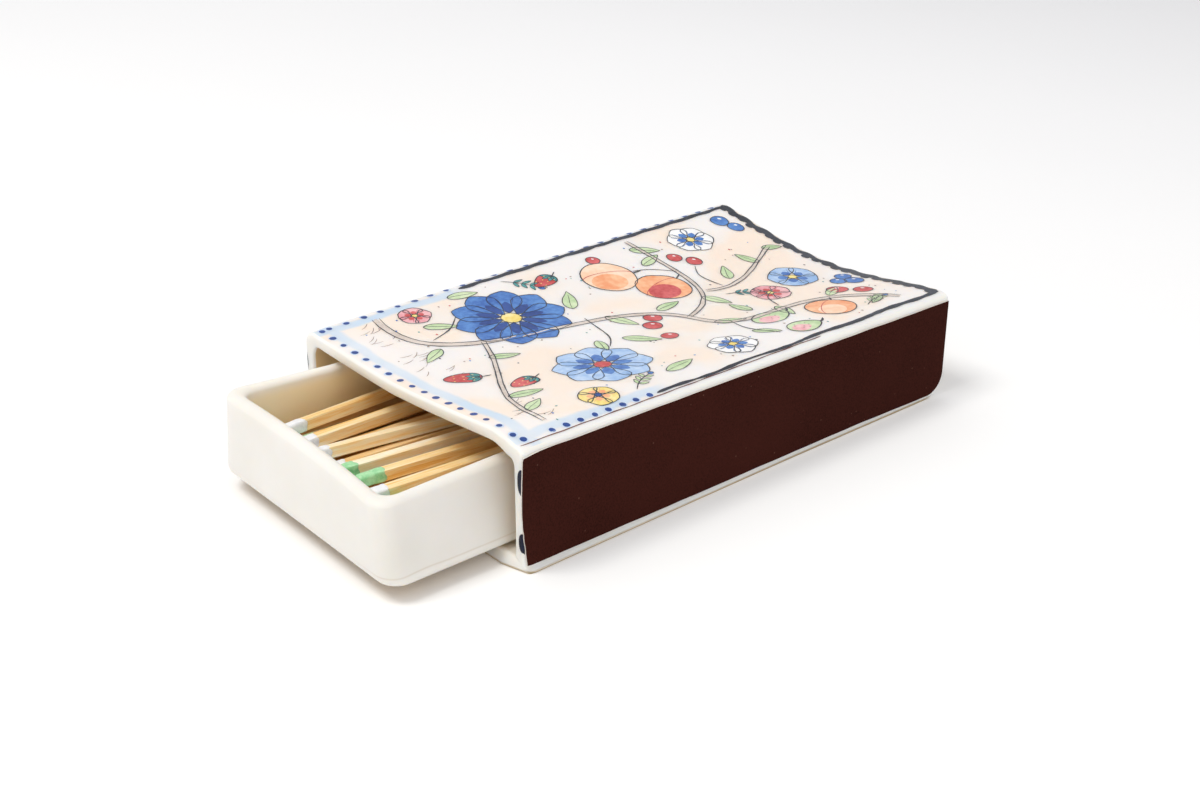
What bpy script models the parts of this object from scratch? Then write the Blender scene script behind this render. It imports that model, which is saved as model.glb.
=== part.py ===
"""Porcelain matchbox with long wooden matches, its drawer pulled part of the way out.

Metres, +Z up. The origin is the centre of the sleeve's underside, on the table.
+Y runs along the sleeve, away from the mouth that the drawer leaves by, and +X is across it.
"""

import math

import bmesh
import bpy
from mathutils import Matrix, Vector

# Sleeve: a flat porcelain tube, open at both ends
SLEEVE_LENGTH = 0.116
SLEEVE_WIDTH = 0.070
SLEEVE_HEIGHT = 0.0247
SLEEVE_WALL = 0.0025
FAR_RIGHT_DROP = 0.0010
ROOF_SAG_AT_MOUTH = 0.0010
ROOF_SAG_AT_FAR_END = 0.0039
LEFT_SAG_POWER = 1.3
RIGHT_SAG_POWER = 1.9
SHOULDER_RISE = 0.0018
SHOULDER_STARTS_SHARE = -0.17
SHOULDER_PEAK_SHARE = 0.72
LONG_EDGE_ROUND_ACROSS = 0.0024
LONG_EDGE_ROUND_DOWN = 0.0012
BORE_ROUND_ACROSS = 0.0032
BORE_ROUND_DOWN = 0.0045
BORE_FOOT_ROUND = 0.0006
LIP_ROUND = 0.0006
FAR_FOOT_ROUND = 0.0050
FOOT_HEIGHT = 0.0014
FOOT_FLARE = 0.0011
FLARE_ENDS_SHARE = 0.62
MOUTH_FOOT_FLARE = 0.0011
MOUTH_FLARE_FADE = 0.0070

# Striking strips, glued to the sleeve's two long sides
STRIP_THICKNESS = 0.0005
STRIP_TOP_MARGIN_NEAR = 0.0009
STRIP_TOP_MARGIN_FAR = 0.0016
STRIP_FOOT_MARGIN = 0.0016
STRIP_NEAR_MARGIN = 0.0001
STRIP_FAR_MARGIN = 0.0004
STRIP_CORNER_CUT = 0.0009

# Tray: the drawer, with walls that lean in and a rim that is round all the way
TRAY_SHORTER_BY = 0.0020
TRAY_HEIGHT = 0.0173
TRAY_WALL = 0.0026
TRAY_END_WALL = 0.0032
TRAY_FLOOR = 0.0026
TRAY_PULLED_OUT = 0.0252
SIDE_LEAN = 0.0024
END_LEAN = 0.0003
END_SKEW_SHARE = 0.023
RIM_SKEW_SHARE = 0.058
RIM_END_BOW = 0.0014
RIM_SIDE_BOW = 0.0011
LEFT_CORNER_SPLAY = 0.0033
SPLAY_POWER = 1.5
LEFT_SPLAY_LENGTH = 0.0240
CORNER_ROUND = 0.0042
INNER_CORNER_ROUND = 0.0033
BASE_EDGE_ROUND = 0.0027
FLOOR_FILLET = 0.0015

# Matches: square splints with a dipped head, all with their heads to the near end
SPLINT_THICKNESS = 0.0021
SPLINT_EDGE_BEVEL = 0.00015
HEAD_LENGTH = 0.0058
HEAD_EDGE_BEVEL = 0.00045

# Clearances
SEAT_GAP = 0.0003
SLIDE_GAP = 0.0004
TRAY_SIDE_GAP = 0.0025
MATCH_END_PLAY = 0.0096
PILE_GAP = 0.00025
CLOSED_RIM_GAP = 0.0006

# How finely the curved skins are divided
ROOF_STEPS = 20
FLOOR_STEPS = 8
SIDE_STEPS = 5
EDGE_STEPS = 4
LENGTH_STEPS = 16
LIP_STEPS = 5
TRAY_CORNER_STEPS = 5
TRAY_SIDE_STEPS = 10
TRAY_END_STEPS = 8
RIM_STEPS = 6
FILLET_STEPS = 3

# Foot of the sleeve's side, from the wall down to the table: shares of the flare and of its height
FOOT_SHARES = ((0.0, 1.0), (0.35, 0.62), (1.0, 0.28), (0.72, 0.0))

# Top layer of matches, left to right: places across of head and tail as shares of the tray's inner
# half width, and setback from the end wall as a share of a head's length
TOP_LAYER_SHARES = (
    (-0.715, -0.852, 0.35, "white"),
    (-0.440, -0.420, 0.01, "white"),
    (-0.255, 0.366, 0.0, "white"),
    (0.098, 0.565, 0.0, "green"),
    (0.312, 0.724, 0.56, "green"),
    (0.551, 0.835, 0.05, "white"),
    (0.790, 0.958, 0.20, "green"),
)
# Lower layers, from the floor up: how far head and tail stand to either side of the match's middle,
# and the outermost match's middle, both as shares of the tray's inner half width
LOWER_LAYER_SHARES = ((0.041, 0.86), (-0.103, 0.79), (0.110, 0.77))
MATCHES_PER_LAYER = 7
LOWER_SETBACK_SHARES = (0.10, 0.34, 0.02, 0.22, 0.46)
LOWER_COLOURS = ("green", "white", "white", "white", "green")

HALF_LENGTH = SLEEVE_LENGTH / 2
HALF_WIDTH = SLEEVE_WIDTH / 2
HALF_BASE = HALF_WIDTH - SLEEVE_WALL - TRAY_SIDE_GAP
TRAY_LENGTH = SLEEVE_LENGTH - TRAY_SHORTER_BY
TRAY_BOTTOM = SLEEVE_WALL + SLIDE_GAP
TRAY_FLOOR_TOP = TRAY_BOTTOM + TRAY_FLOOR
TRAY_RIM = TRAY_BOTTOM + TRAY_HEIGHT
TRAY_NEAR = -HALF_LENGTH - TRAY_PULLED_OUT
TRAY_FAR = TRAY_NEAR + TRAY_LENGTH
TRAY_INNER_HALF = HALF_BASE - SIDE_LEAN - TRAY_WALL
MATCH_LENGTH = TRAY_LENGTH - 2 * TRAY_END_WALL - MATCH_END_PLAY
LAYER_PITCH = SPLINT_THICKNESS + PILE_GAP


def mix(a, b, share):
    return a + (b - a) * share


def material(name, colour, roughness, coat=0.0):
    """A Principled material in one colour, with a clear glaze over it where coat is set."""
    made = bpy.data.materials.new(name)
    made.use_nodes = True
    made.diffuse_color = (*colour, 1)
    shader = made.node_tree.nodes["Principled BSDF"]
    shader.inputs["Base Color"].default_value = (*colour, 1)
    shader.inputs["Roughness"].default_value = roughness
    shader.inputs["Metallic"].default_value = 0.0
    shader.inputs["Coat Weight"].default_value = coat
    return made


def clear_scene():
    for thing in list(bpy.data.objects):
        bpy.data.objects.remove(thing, do_unlink=True)


def add_object(name, data, finish, collection, parent=None):
    made = bpy.data.objects.new(name, data)
    data.materials.append(finish)
    collection.objects.link(made)
    if parent:
        made.parent = parent
        made.matrix_parent_inverse = Matrix.Translation(parent.location).inverted()
    return made


def skin(name, rings, around_again=False):
    """A closed mesh through rings of points: capped at both ends, or run round to the first ring."""
    shell = bmesh.new()
    rows = [[shell.verts.new(point) for point in ring] for ring in rings]
    pairs = list(zip(rows, rows[1:]))
    if around_again:
        pairs.append((rows[-1], rows[0]))
    else:
        shell.faces.new(rows[0])
        shell.faces.new(rows[-1])
    for low, high in pairs:
        for i in range(len(low)):
            j = (i + 1) % len(low)
            shell.faces.new((low[i], low[j], high[j], high[i]))
    bmesh.ops.recalc_face_normals(shell, faces=shell.faces)
    made = bpy.data.meshes.new(name)
    shell.to_mesh(made)
    shell.free()
    made.shade_smooth()
    made.set_sharp_from_angle(angle=math.radians(40))
    return made


def roof_sag(x, share):
    """How far the roof has sunk at x, with share running from the mouth to the far end."""
    deepest = mix(ROOF_SAG_AT_MOUTH, ROOF_SAG_AT_FAR_END, share)
    across = min(1, abs(x) / HALF_WIDTH)
    return deepest * (1 - across**2) ** (RIGHT_SAG_POWER if x > 0 else LEFT_SAG_POWER)


def shoulder(x, share):
    """How far the roof bulges up beside its right edge: most at the mouth, nothing at the far end."""
    across = x / HALF_WIDTH
    rise = (across - SHOULDER_STARTS_SHARE) / (SHOULDER_PEAK_SHARE - SHOULDER_STARTS_SHARE)
    fall = (1 - across) / (1 - SHOULDER_PEAK_SHARE)
    return SHOULDER_RISE * (1 - share) * max(0, min(rise, math.sin(math.pi / 2 * min(1, fall))))


def edge_height(x, share):
    """Height of the roof without its sag: the far right corner stands a little low."""
    return SLEEVE_HEIGHT - FAR_RIGHT_DROP * share * (1 + x / HALF_WIDTH) / 2


def roof(x, share):
    return edge_height(x, share) - roof_sag(x, share) + shoulder(x, share)


def foot_flare(share):
    return FOOT_FLARE * max(0, 1 - share / FLARE_ENDS_SHARE)


def half_roof(edge, share, depth):
    """(x, z) from the middle of the roof toward one edge, at a depth below its outer face."""
    half = ROOF_STEPS // 2
    across = [edge * i / half for i in range(half)]
    return [(x, roof(x, share) - depth) for x in across]


def outer_half_section(side, share):
    """(x, z) from the middle of the roof to the middle of the floor, down one outer side."""
    flat = HALF_WIDTH - LONG_EDGE_ROUND_ACROSS
    points = half_roof(side * flat, share, 0)
    top = roof(side * flat, share)
    for i in range(EDGE_STEPS):
        turn = math.pi / 2 * i / EDGE_STEPS
        across = flat + LONG_EDGE_ROUND_ACROSS * math.sin(turn)
        down = LONG_EDGE_ROUND_DOWN * (1 - math.cos(turn))
        points.append((side * across, top - down))
    high = top - LONG_EDGE_ROUND_DOWN
    for i in range(SIDE_STEPS):
        points.append((side * HALF_WIDTH, mix(high, FOOT_HEIGHT, i / SIDE_STEPS)))
    flare = foot_flare(share)
    for out_share, up_share in FOOT_SHARES:
        points.append((side * (HALF_WIDTH + flare * out_share), FOOT_HEIGHT * up_share))
    edge = points[-1][0]
    half = FLOOR_STEPS // 2
    for i in range(1, half):
        points.append((mix(edge, 0, i / half), 0.0))
    points.append((0.0, 0.0))
    return points


def inner_half_section(side, share):
    """(x, z) of the bore, point for point with the outer section: one wall thickness inside it."""
    half_bore = HALF_WIDTH - SLEEVE_WALL
    flat = half_bore - BORE_ROUND_ACROSS
    points = half_roof(side * flat, share, SLEEVE_WALL)
    top = roof(side * flat, share) - SLEEVE_WALL
    for i in range(EDGE_STEPS):
        turn = math.pi / 2 * i / EDGE_STEPS
        across = flat + BORE_ROUND_ACROSS * math.sin(turn)
        points.append((side * across, top - BORE_ROUND_DOWN * (1 - math.cos(turn))))
    high = top - BORE_ROUND_DOWN
    low = SLEEVE_WALL + BORE_FOOT_ROUND
    for i in range(SIDE_STEPS):
        points.append((side * half_bore, mix(high, low, i / SIDE_STEPS)))
    last = len(FOOT_SHARES) - 1
    floor_edge = half_bore - BORE_FOOT_ROUND
    for i in range(len(FOOT_SHARES)):
        turn = math.pi / 2 * i / last
        across = floor_edge + BORE_FOOT_ROUND * math.cos(turn)
        points.append((side * across, SLEEVE_WALL + BORE_FOOT_ROUND * (1 - math.sin(turn))))
    half = FLOOR_STEPS // 2
    for i in range(1, half):
        points.append((side * mix(floor_edge, 0, i / half), SLEEVE_WALL))
    points.append((0.0, SLEEVE_WALL))
    return points


def whole_section(half_section, share):
    right = half_section(1, share)
    left = half_section(-1, share)
    return right + left[-2:0:-1]


def far_end(z):
    """Y of the sleeve's far end at a height: its lower corner is rounded in the side view."""
    below = max(0, FAR_FOOT_ROUND - z)
    return HALF_LENGTH - FAR_FOOT_ROUND + math.sqrt(FAR_FOOT_ROUND**2 - below**2)


def mouth_end(x, z):
    """Y of the sleeve's mouth end: its foot stands out, but not at the two corners."""
    low = max(0, 1 - z / FOOT_HEIGHT)
    inward = min(1, (HALF_WIDTH + FOOT_FLARE - abs(x)) / MOUTH_FLARE_FADE)
    return -HALF_LENGTH - MOUTH_FOOT_FLARE * low * inward


def skin_ring(half_section, share):
    """One ring of the outer skin or the bore, between the two round lips."""
    ring = []
    for x, z in whole_section(half_section, share):
        y = mix(mouth_end(x, z) + LIP_ROUND, far_end(z) - LIP_ROUND, share)
        ring.append((x, y, z))
    return ring


def lip_rings(outer, inner, toward):
    """Rings that carry one skin round to the other over a lip, toward -1 for the mouth or 1."""
    rings = []
    for i in range(1, LIP_STEPS):
        turn = math.pi * i / LIP_STEPS
        ahead = Vector((0, toward * LIP_ROUND * math.sin(turn), 0))
        inset = LIP_ROUND * (1 - abs(math.cos(turn)))
        ring = []
        for pair in zip(outer, inner):
            start, end = pair if math.cos(turn) > 0 else pair[::-1]
            through = (Vector(end) - Vector(start)).normalized()
            ring.append(Vector(start) + through * inset + ahead)
        rings.append(ring)
    return rings


def sleeve_mesh():
    shares = [i / LENGTH_STEPS for i in range(LENGTH_STEPS + 1)]
    outer = [skin_ring(outer_half_section, share) for share in shares]
    inner = [skin_ring(inner_half_section, share) for share in shares]
    far_lip = lip_rings(outer[-1], inner[-1], 1)
    near_lip = lip_rings(outer[0], inner[0], -1)
    rings = outer + far_lip + inner[::-1] + near_lip[::-1]
    return skin("sleeve", rings, around_again=True)


def strip_outline():
    """(y, z) round a striking strip: its far lower corner follows the sleeve's."""
    near = -HALF_LENGTH + STRIP_NEAR_MARGIN
    far = HALF_LENGTH - STRIP_FAR_MARGIN
    round_by = FAR_FOOT_ROUND - STRIP_FAR_MARGIN
    middle = ((near + far) / 2, STRIP_FOOT_MARGIN)
    centre = (far - round_by, STRIP_FOOT_MARGIN / 2 + round_by)
    points = [(near + STRIP_CORNER_CUT, STRIP_FOOT_MARGIN), middle]
    steps = 2 * EDGE_STEPS
    for i in range(steps + 1):
        turn = math.pi / 2 * i / steps
        points.append((centre[0] + round_by * math.sin(turn), centre[1] - round_by * math.cos(turn)))
    points.append((far, SLEEVE_HEIGHT - FAR_RIGHT_DROP - STRIP_TOP_MARGIN_FAR))
    points.append((near, SLEEVE_HEIGHT - STRIP_TOP_MARGIN_NEAR))
    points.append((near, SLEEVE_HEIGHT / 2))
    return points


def add_striker(name, side, finish, collection):
    """A flat outline as thick as the strip, stood up against the sleeve's side."""
    curve = bpy.data.curves.new(name, "CURVE")
    curve.dimensions = "2D"
    curve.fill_mode = "BOTH"
    curve.extrude = STRIP_THICKNESS / 2
    spline = curve.splines.new("POLY")
    outline = strip_outline()
    spline.points.add(len(outline) - 1)
    for point, (y, z) in zip(spline.points, outline):
        point.co = (y, z, 0, 1)
    spline.use_cyclic_u = True
    strip = add_object(name, curve, finish, collection)
    across = side * (HALF_WIDTH + SEAT_GAP + STRIP_THICKNESS / 2)
    upright = Matrix(((0, 0, 1), (1, 0, 0), (0, 1, 0))).to_4x4()
    strip.matrix_world = Matrix.Translation((across, 0, 0)) @ upright
    return strip


def rounded_outline(low_x, high_x, low_y, high_y, radius):
    """Counter-clockwise rounded rectangle with the same count of points whatever its size."""
    corners = (
        (high_x - radius, low_y + radius, -90),
        (high_x - radius, high_y - radius, 0),
        (low_x + radius, high_y - radius, 90),
        (low_x + radius, low_y + radius, 180),
    )
    steps = (TRAY_SIDE_STEPS, TRAY_END_STEPS, TRAY_SIDE_STEPS, TRAY_END_STEPS)
    points = []
    for n, (centre_x, centre_y, start) in enumerate(corners):
        for i in range(TRAY_CORNER_STEPS + 1):
            turn = math.radians(start + 90 * i / TRAY_CORNER_STEPS)
            points.append((centre_x + radius * math.cos(turn), centre_y + radius * math.sin(turn)))
        end = points[-1]
        ahead_x, ahead_y, ahead_start = corners[(n + 1) % len(corners)]
        ahead_turn = math.radians(ahead_start)
        ahead = (ahead_x + radius * math.cos(ahead_turn), ahead_y + radius * math.sin(ahead_turn))
        for i in range(1, steps[n]):
            share = i / steps[n]
            points.append((mix(end[0], ahead[0], share), mix(end[1], ahead[1], share)))
    return points


def closed_roof_underside(x, y):
    """Underside of the sleeve's roof above a point of the tray, once the tray is pushed home."""
    share = (y + TRAY_PULLED_OUT + HALF_LENGTH) / SLEEVE_LENGTH
    return roof(x, min(1, max(0, share))) - SLEEVE_WALL


def hand_set(x, y, z):
    """A point of the straight tray, moved as the potter's hand left it."""
    up = min(1, max(0, (z - TRAY_BOTTOM) / TRAY_HEIGHT))
    nearness = min(1, max(0, 1 - (y - TRAY_NEAR) / (TRAY_LENGTH / 2)))
    skew = mix(END_SKEW_SHARE, RIM_SKEW_SHARE, up) * nearness
    bow = RIM_END_BOW * up * nearness * (1 - (x / HALF_BASE) ** 2)
    splay = max(0, 1 - (y - TRAY_NEAR) / LEFT_SPLAY_LENGTH) * max(0, -x / HALF_BASE)
    along = 2 * (y - TRAY_NEAR) / TRAY_LENGTH - 1
    pinch = RIM_SIDE_BOW * up * max(0, 1 - along**2)
    moved_x = x * (1 - pinch / HALF_BASE) - LEFT_CORNER_SPLAY * splay * up**SPLAY_POWER
    moved_y = y - skew * x + bow
    lowest = closed_roof_underside(x, y) - CLOSED_RIM_GAP
    rim = min(TRAY_RIM, lowest)
    moved_z = z
    if z > TRAY_FLOOR_TOP:
        moved_z = mix(TRAY_FLOOR_TOP, rim, (z - TRAY_FLOOR_TOP) / (TRAY_RIM - TRAY_FLOOR_TOP))
    return (moved_x, moved_y, moved_z)


def tray_ring(inset, z, shell_radius):
    """One ring of the tray, inset from its base outline at a height, with the walls' lean."""
    up = min(1, max(0, (z - TRAY_BOTTOM) / TRAY_HEIGHT))
    side = HALF_BASE - inset - SIDE_LEAN * up
    end_inset = inset * TRAY_END_WALL / TRAY_WALL
    near = TRAY_NEAR + end_inset + END_LEAN * up
    far = TRAY_FAR - end_inset - END_LEAN * up
    return [hand_set(x, y, z) for x, y in rounded_outline(-side, side, near, far, shell_radius)]


def tray_mesh():
    rings = []
    for i in range(FILLET_STEPS + 1):
        turn = math.pi / 2 * i / FILLET_STEPS
        inset = BASE_EDGE_ROUND * (1 - math.sin(turn))
        z = TRAY_BOTTOM + BASE_EDGE_ROUND * (1 - math.cos(turn))
        rings.append(tray_ring(inset, z, CORNER_ROUND - inset / 2))
    rim_round = TRAY_WALL / 2
    shoulder = TRAY_RIM - rim_round
    rings.append(tray_ring(0.0, mix(TRAY_BOTTOM + BASE_EDGE_ROUND, shoulder, 0.5), CORNER_ROUND))
    for i in range(RIM_STEPS + 1):
        turn = math.pi * i / RIM_STEPS
        inset = rim_round * (1 - math.cos(turn))
        z = shoulder + rim_round * math.sin(turn)
        rings.append(tray_ring(inset, z, mix(CORNER_ROUND, INNER_CORNER_ROUND, inset / TRAY_WALL)))
    fillet_top = TRAY_FLOOR_TOP + FLOOR_FILLET
    rings.append(tray_ring(TRAY_WALL, mix(shoulder, fillet_top, 0.5), INNER_CORNER_ROUND))
    for i in range(FILLET_STEPS + 1):
        turn = math.pi / 2 * i / FILLET_STEPS
        inset = TRAY_WALL + FLOOR_FILLET * (1 - math.cos(turn))
        z = fillet_top - FLOOR_FILLET * math.sin(turn)
        rings.append(tray_ring(inset, z, INNER_CORNER_ROUND - (inset - TRAY_WALL)))
    return skin("tray", rings)


def end_wall_inside(x, z):
    """Y of the inner face of the tray's near end wall at a place across and a height."""
    up = (z - TRAY_BOTTOM) / TRAY_HEIGHT
    moved = hand_set(x, TRAY_NEAR + TRAY_END_WALL + END_LEAN * up, z)
    return moved[1]


def bevelled_bar(name, length, thickness, bevel, segments):
    """A square bar along Y with its near end at the origin and all its edges bevelled."""
    bar = bmesh.new()
    bmesh.ops.create_cube(bar, size=1)
    bmesh.ops.scale(bar, vec=(thickness, length, thickness), verts=bar.verts)
    bmesh.ops.translate(bar, vec=(0, length / 2, 0), verts=bar.verts)
    bmesh.ops.bevel(
        bar, geom=bar.edges, offset=bevel, offset_type="OFFSET",
        segments=segments, profile=0.5, affect="EDGES",
    )
    made = bpy.data.meshes.new(name)
    bar.to_mesh(made)
    bar.free()
    made.materials.append(None)
    return made


def add_bar(name, mesh, finish, collection, parent, place, heading):
    made = bpy.data.objects.new(name, mesh)
    made.parent = parent
    made.location = place - parent.location
    made.rotation_euler = (0, 0, -heading)
    collection.objects.link(made)
    made.material_slots[0].link = "OBJECT"
    made.material_slots[0].material = finish
    return made


def match_places():
    """(layer, head share, tail share, setback share, colour) of each match, from the floor up."""
    places = []
    for layer, (slant, outermost) in enumerate(LOWER_LAYER_SHARES):
        for i in range(MATCHES_PER_LAYER):
            middle = mix(-outermost, outermost, i / (MATCHES_PER_LAYER - 1))
            turn = 2 * i + layer
            setback = LOWER_SETBACK_SHARES[turn % len(LOWER_SETBACK_SHARES)]
            colour = LOWER_COLOURS[turn % len(LOWER_COLOURS)]
            places.append((layer, middle - slant, middle + slant, setback, colour))
    return places + [(len(LOWER_LAYER_SHARES), *row) for row in TOP_LAYER_SHARES]


def add_matches(finishes, collection, parent):
    splint_length = MATCH_LENGTH - HEAD_LENGTH - SEAT_GAP
    splint = bevelled_bar("splint", splint_length, SPLINT_THICKNESS, SPLINT_EDGE_BEVEL, 1)
    head = bevelled_bar("head", HEAD_LENGTH, SPLINT_THICKNESS, HEAD_EDGE_BEVEL, 2)
    half = SPLINT_THICKNESS / 2
    for number, (layer, at_head, at_tail, setback, colour) in enumerate(match_places(), 1):
        x = at_head * TRAY_INNER_HALF
        z = TRAY_FLOOR_TOP + PILE_GAP + half + LAYER_PITCH * layer
        heading = math.asin((at_tail - at_head) * TRAY_INNER_HALF / MATCH_LENGTH)
        wall = max(end_wall_inside(x - half, z), end_wall_inside(x + half, z))
        corner_reach = half * abs(math.sin(heading))
        tip = Vector((x, wall + SEAT_GAP + corner_reach + setback * HEAD_LENGTH, z))
        along = Vector((math.sin(heading), math.cos(heading), 0))
        name = f"match_{number:02d}"
        add_bar(f"{name}_head", head, finishes[colour], collection, parent, tip, heading)
        start = tip + along * (HEAD_LENGTH + SEAT_GAP)
        add_bar(f"{name}_stick", splint, finishes["splint"], collection, parent, start, heading)


def main():
    clear_scene()
    collection = bpy.data.collections.new("matchbox")
    bpy.context.scene.collection.children.link(collection)
    porcelain = material("glazed porcelain", (0.86, 0.83, 0.78), 0.25, 0.6)
    bare_white = material("slip porcelain", (0.89, 0.87, 0.83), 0.30, 0.5)
    striking = material("striking paper", (0.034, 0.010, 0.008), 0.85)
    finishes = {
        "splint": material("aspen splint", (0.78, 0.55, 0.28), 0.70),
        "white": material("white match composition", (0.80, 0.81, 0.83), 0.75),
        "green": material("green match composition", (0.20, 0.56, 0.31), 0.75),
    }
    add_object("sleeve", sleeve_mesh(), bare_white, collection)
    add_striker("striker_right", 1, striking, collection)
    add_striker("striker_left", -1, striking, collection)
    slide = bpy.data.objects.new("tray_slide", None)
    slide.location = (0, (TRAY_NEAR + TRAY_FAR) / 2, TRAY_BOTTOM)
    collection.objects.link(slide)
    add_object("tray", tray_mesh(), porcelain, collection, slide)
    add_matches(finishes, collection, slide)


main()
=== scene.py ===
"""Finishes, printed roof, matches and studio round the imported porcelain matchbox.

The frame is in metres: +Y runs along the sleeve away from its mouth, +X is across, +Z is up.
Drawings on the roof are in millimetres: x across, y along.
"""

import math
import random
from functools import partial

import bmesh
import bpy
from mathutils import Matrix, Vector, noise
from mathutils.bvhtree import BVHTree
from mathutils.geometry import delaunay_2d_cdt, interpolate_bezier


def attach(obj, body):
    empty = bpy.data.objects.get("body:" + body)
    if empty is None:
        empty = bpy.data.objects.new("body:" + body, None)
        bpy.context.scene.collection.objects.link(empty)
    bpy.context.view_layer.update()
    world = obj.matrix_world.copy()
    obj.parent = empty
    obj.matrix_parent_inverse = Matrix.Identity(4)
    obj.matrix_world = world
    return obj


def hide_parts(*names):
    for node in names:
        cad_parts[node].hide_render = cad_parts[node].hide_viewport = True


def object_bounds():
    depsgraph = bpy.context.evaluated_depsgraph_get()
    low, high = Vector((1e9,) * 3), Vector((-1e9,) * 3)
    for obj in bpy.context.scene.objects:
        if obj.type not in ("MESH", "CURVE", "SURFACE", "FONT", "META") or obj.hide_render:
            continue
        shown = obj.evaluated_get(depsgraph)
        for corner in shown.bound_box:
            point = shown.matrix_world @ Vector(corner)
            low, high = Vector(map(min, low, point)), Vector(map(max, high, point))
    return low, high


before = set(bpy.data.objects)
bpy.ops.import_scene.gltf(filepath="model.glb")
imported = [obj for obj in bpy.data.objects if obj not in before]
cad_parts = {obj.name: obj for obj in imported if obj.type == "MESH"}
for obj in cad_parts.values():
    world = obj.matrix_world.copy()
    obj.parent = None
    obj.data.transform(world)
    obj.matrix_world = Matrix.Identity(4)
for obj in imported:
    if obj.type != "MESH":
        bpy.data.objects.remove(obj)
cad_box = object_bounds()

MM = 0.001

# Sleeve
SLEEVE_LENGTH = 0.116
SLEEVE_WIDTH = 0.070
SLEEVE_HEIGHT = 0.0247
SLEEVE_WALL = 0.0025
FAR_RIGHT_DROP = 0.0010
ROOF_SAG_AT_MOUTH = 0.0010
ROOF_SAG_AT_FAR_END = 0.0039
LEFT_SAG_POWER = 1.3
RIGHT_SAG_POWER = 1.9
SHOULDER_RISE = 0.0018
SHOULDER_STARTS_SHARE = -0.17
SHOULDER_PEAK_SHARE = 0.72
LONG_EDGE_ROUND_ACROSS = 0.0024
LONG_EDGE_ROUND_DOWN = 0.0012
MOUTH_LEFT_ROUND_DOWN = 0.0023
MOUTH_LEFT_ROUND_SHARE = 0.07
BORE_ROUND_ACROSS = 0.0020
BORE_ROUND_DOWN = 0.0028
RIGHT_BORE_ROUND_ACROSS = 0.0014
RIGHT_BORE_ROUND_DOWN = 0.0018
BORE_FOOT_ROUND = 0.0006
THICK_LIP_STARTS = 0.0264
THICK_LIP_FULL = 0.0311
THICK_LIP_EXTRA = 0.0007
THICK_LIP_ENDS_SHARE = 0.08
LIP_ROUND = 0.0006
FAR_FOOT_ROUND = 0.0050
FOOT_HEIGHT = 0.0014
FOOT_FLARE = 0.0011
FLARE_ENDS_SHARE = 0.62
MOUTH_FOOT_FLARE = 0.0011
MOUTH_FLARE_FADE = 0.0012
MOUTH_FOOT_CORNER = 0.0019
PRINT_STARTS_ABOVE = 6 * FOOT_HEIGHT
# The foot's outline from its top down, in shares of its flare and of its height
FOOT_SHARES = ((0.0, 1.0), (0.12, 0.82), (0.35, 0.62), (0.75, 0.42), (1.0, 0.28), (0.95, 0.10), (0.72, 0.0))

# Tray
TRAY_HEIGHT = 0.0173
TRAY_WALL = 0.0026
TRAY_END_WALL = 0.0032
TRAY_FLOOR = 0.0026
TRAY_PULLED_OUT = 0.0252
TRAY_SHORTER_BY = 0.0020
SIDE_LEAN = 0.0024
END_LEAN = 0.0003
END_SKEW_SHARE = 0.023
RIM_SKEW_SHARE = 0.058
RIM_END_BOW = 0.0014
RIM_SIDE_BOW = 0.0011
LEFT_CORNER_SPLAY = 0.0033
SPLAY_POWER = 1.5
LEFT_SPLAY_LENGTH = 0.0240
CORNER_ROUND = 0.0042
INNER_CORNER_ROUND = 0.0033
BASE_EDGE_ROUND = 0.0027
FLOOR_FILLET = 0.0015
SLIDE_GAP = 0.0004
TRAY_SIDE_GAP = 0.0025
CLOSED_RIM_GAP = 0.0006

# Striking strips
STRIP_NEAR_MARGIN = 0.0001
STRIP_FAR_MARGIN = 0.0004
STRIP_LOW = 0.0016
STRIP_LOW_DIP = 0.00015
STRIP_FAR_LOW = 0.0010
STRIP_DIPS_FROM = 0.030
STRIP_DIPS_OVER = 0.023
STRIP_FAR_TOP = 0.0221
STRIP_TOP_MARGIN = 0.0009
STRIP_TOP_BULGE = 0.00042
BULGE_RISE = 0.0030
BULGE_FALL = 0.0600
STRIP_WAVER = 0.00011
STRIP_WAVER_LENGTH = 0.006
STRIP_NICK = 0.00005
STRIP_NICK_LENGTH = 0.0016
GLUE_LINE = 0.00001
STRIP_STANDS_OUT = 0.00027
LEFT_STRIP_SET_BACK = 0.0009
# The hand-cut near edge: how many mm it stands back from straight, at heights in metres
STRIP_NEAR_EDGE = (
    (0.0016, 0.60), (0.0045, 0.26), (0.0080, -0.12), (0.0103, -0.40), (0.0137, -0.52), (0.0180, -0.42),
    (0.0221, -0.24), (0.0238, -0.17),
)

# Matches
SPLINT_HALF = 0.00111
COVERED_STATIONS = (0.0012, 0.0049, 0.0057)
SQUEEZED_STATIONS = 2
SQUEEZE = 0.86
BARE_WOOD_FROM = 0.0068
ROUGHNESS = 0.035
ROUGH_LENGTH = 0.012
RAGGED_END = 0.00018
RAGGED_SIZE = 0.0006
HEAD_LENGTHS = (0.0060, 0.0067)
HEAD_TIP = 0.0011
HEAD_TIP_SHARE = 0.06
HEAD_TIP_POWER = 2.6
HEAD_POWER = 5.5
HEAD_SQUARER_POWER = 3.5
HEAD_SQUARE_BY = 0.0025
HEAD_SQUARER_FROM = 0.0038
HEAD_SQUARER_OVER = 0.0012
HEAD_EDGE_FADE = 0.0006
HEAD_EDGE_WAVER = 0.0005
HEAD_LUMPS = ((0.00005, 2.2, 0.0011), (0.00002, 6, 0.0004))
# Matches below this height get the darker aspen copy, which is painted shade
UPPER_MATCHES_ABOVE = 0.0135

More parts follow.
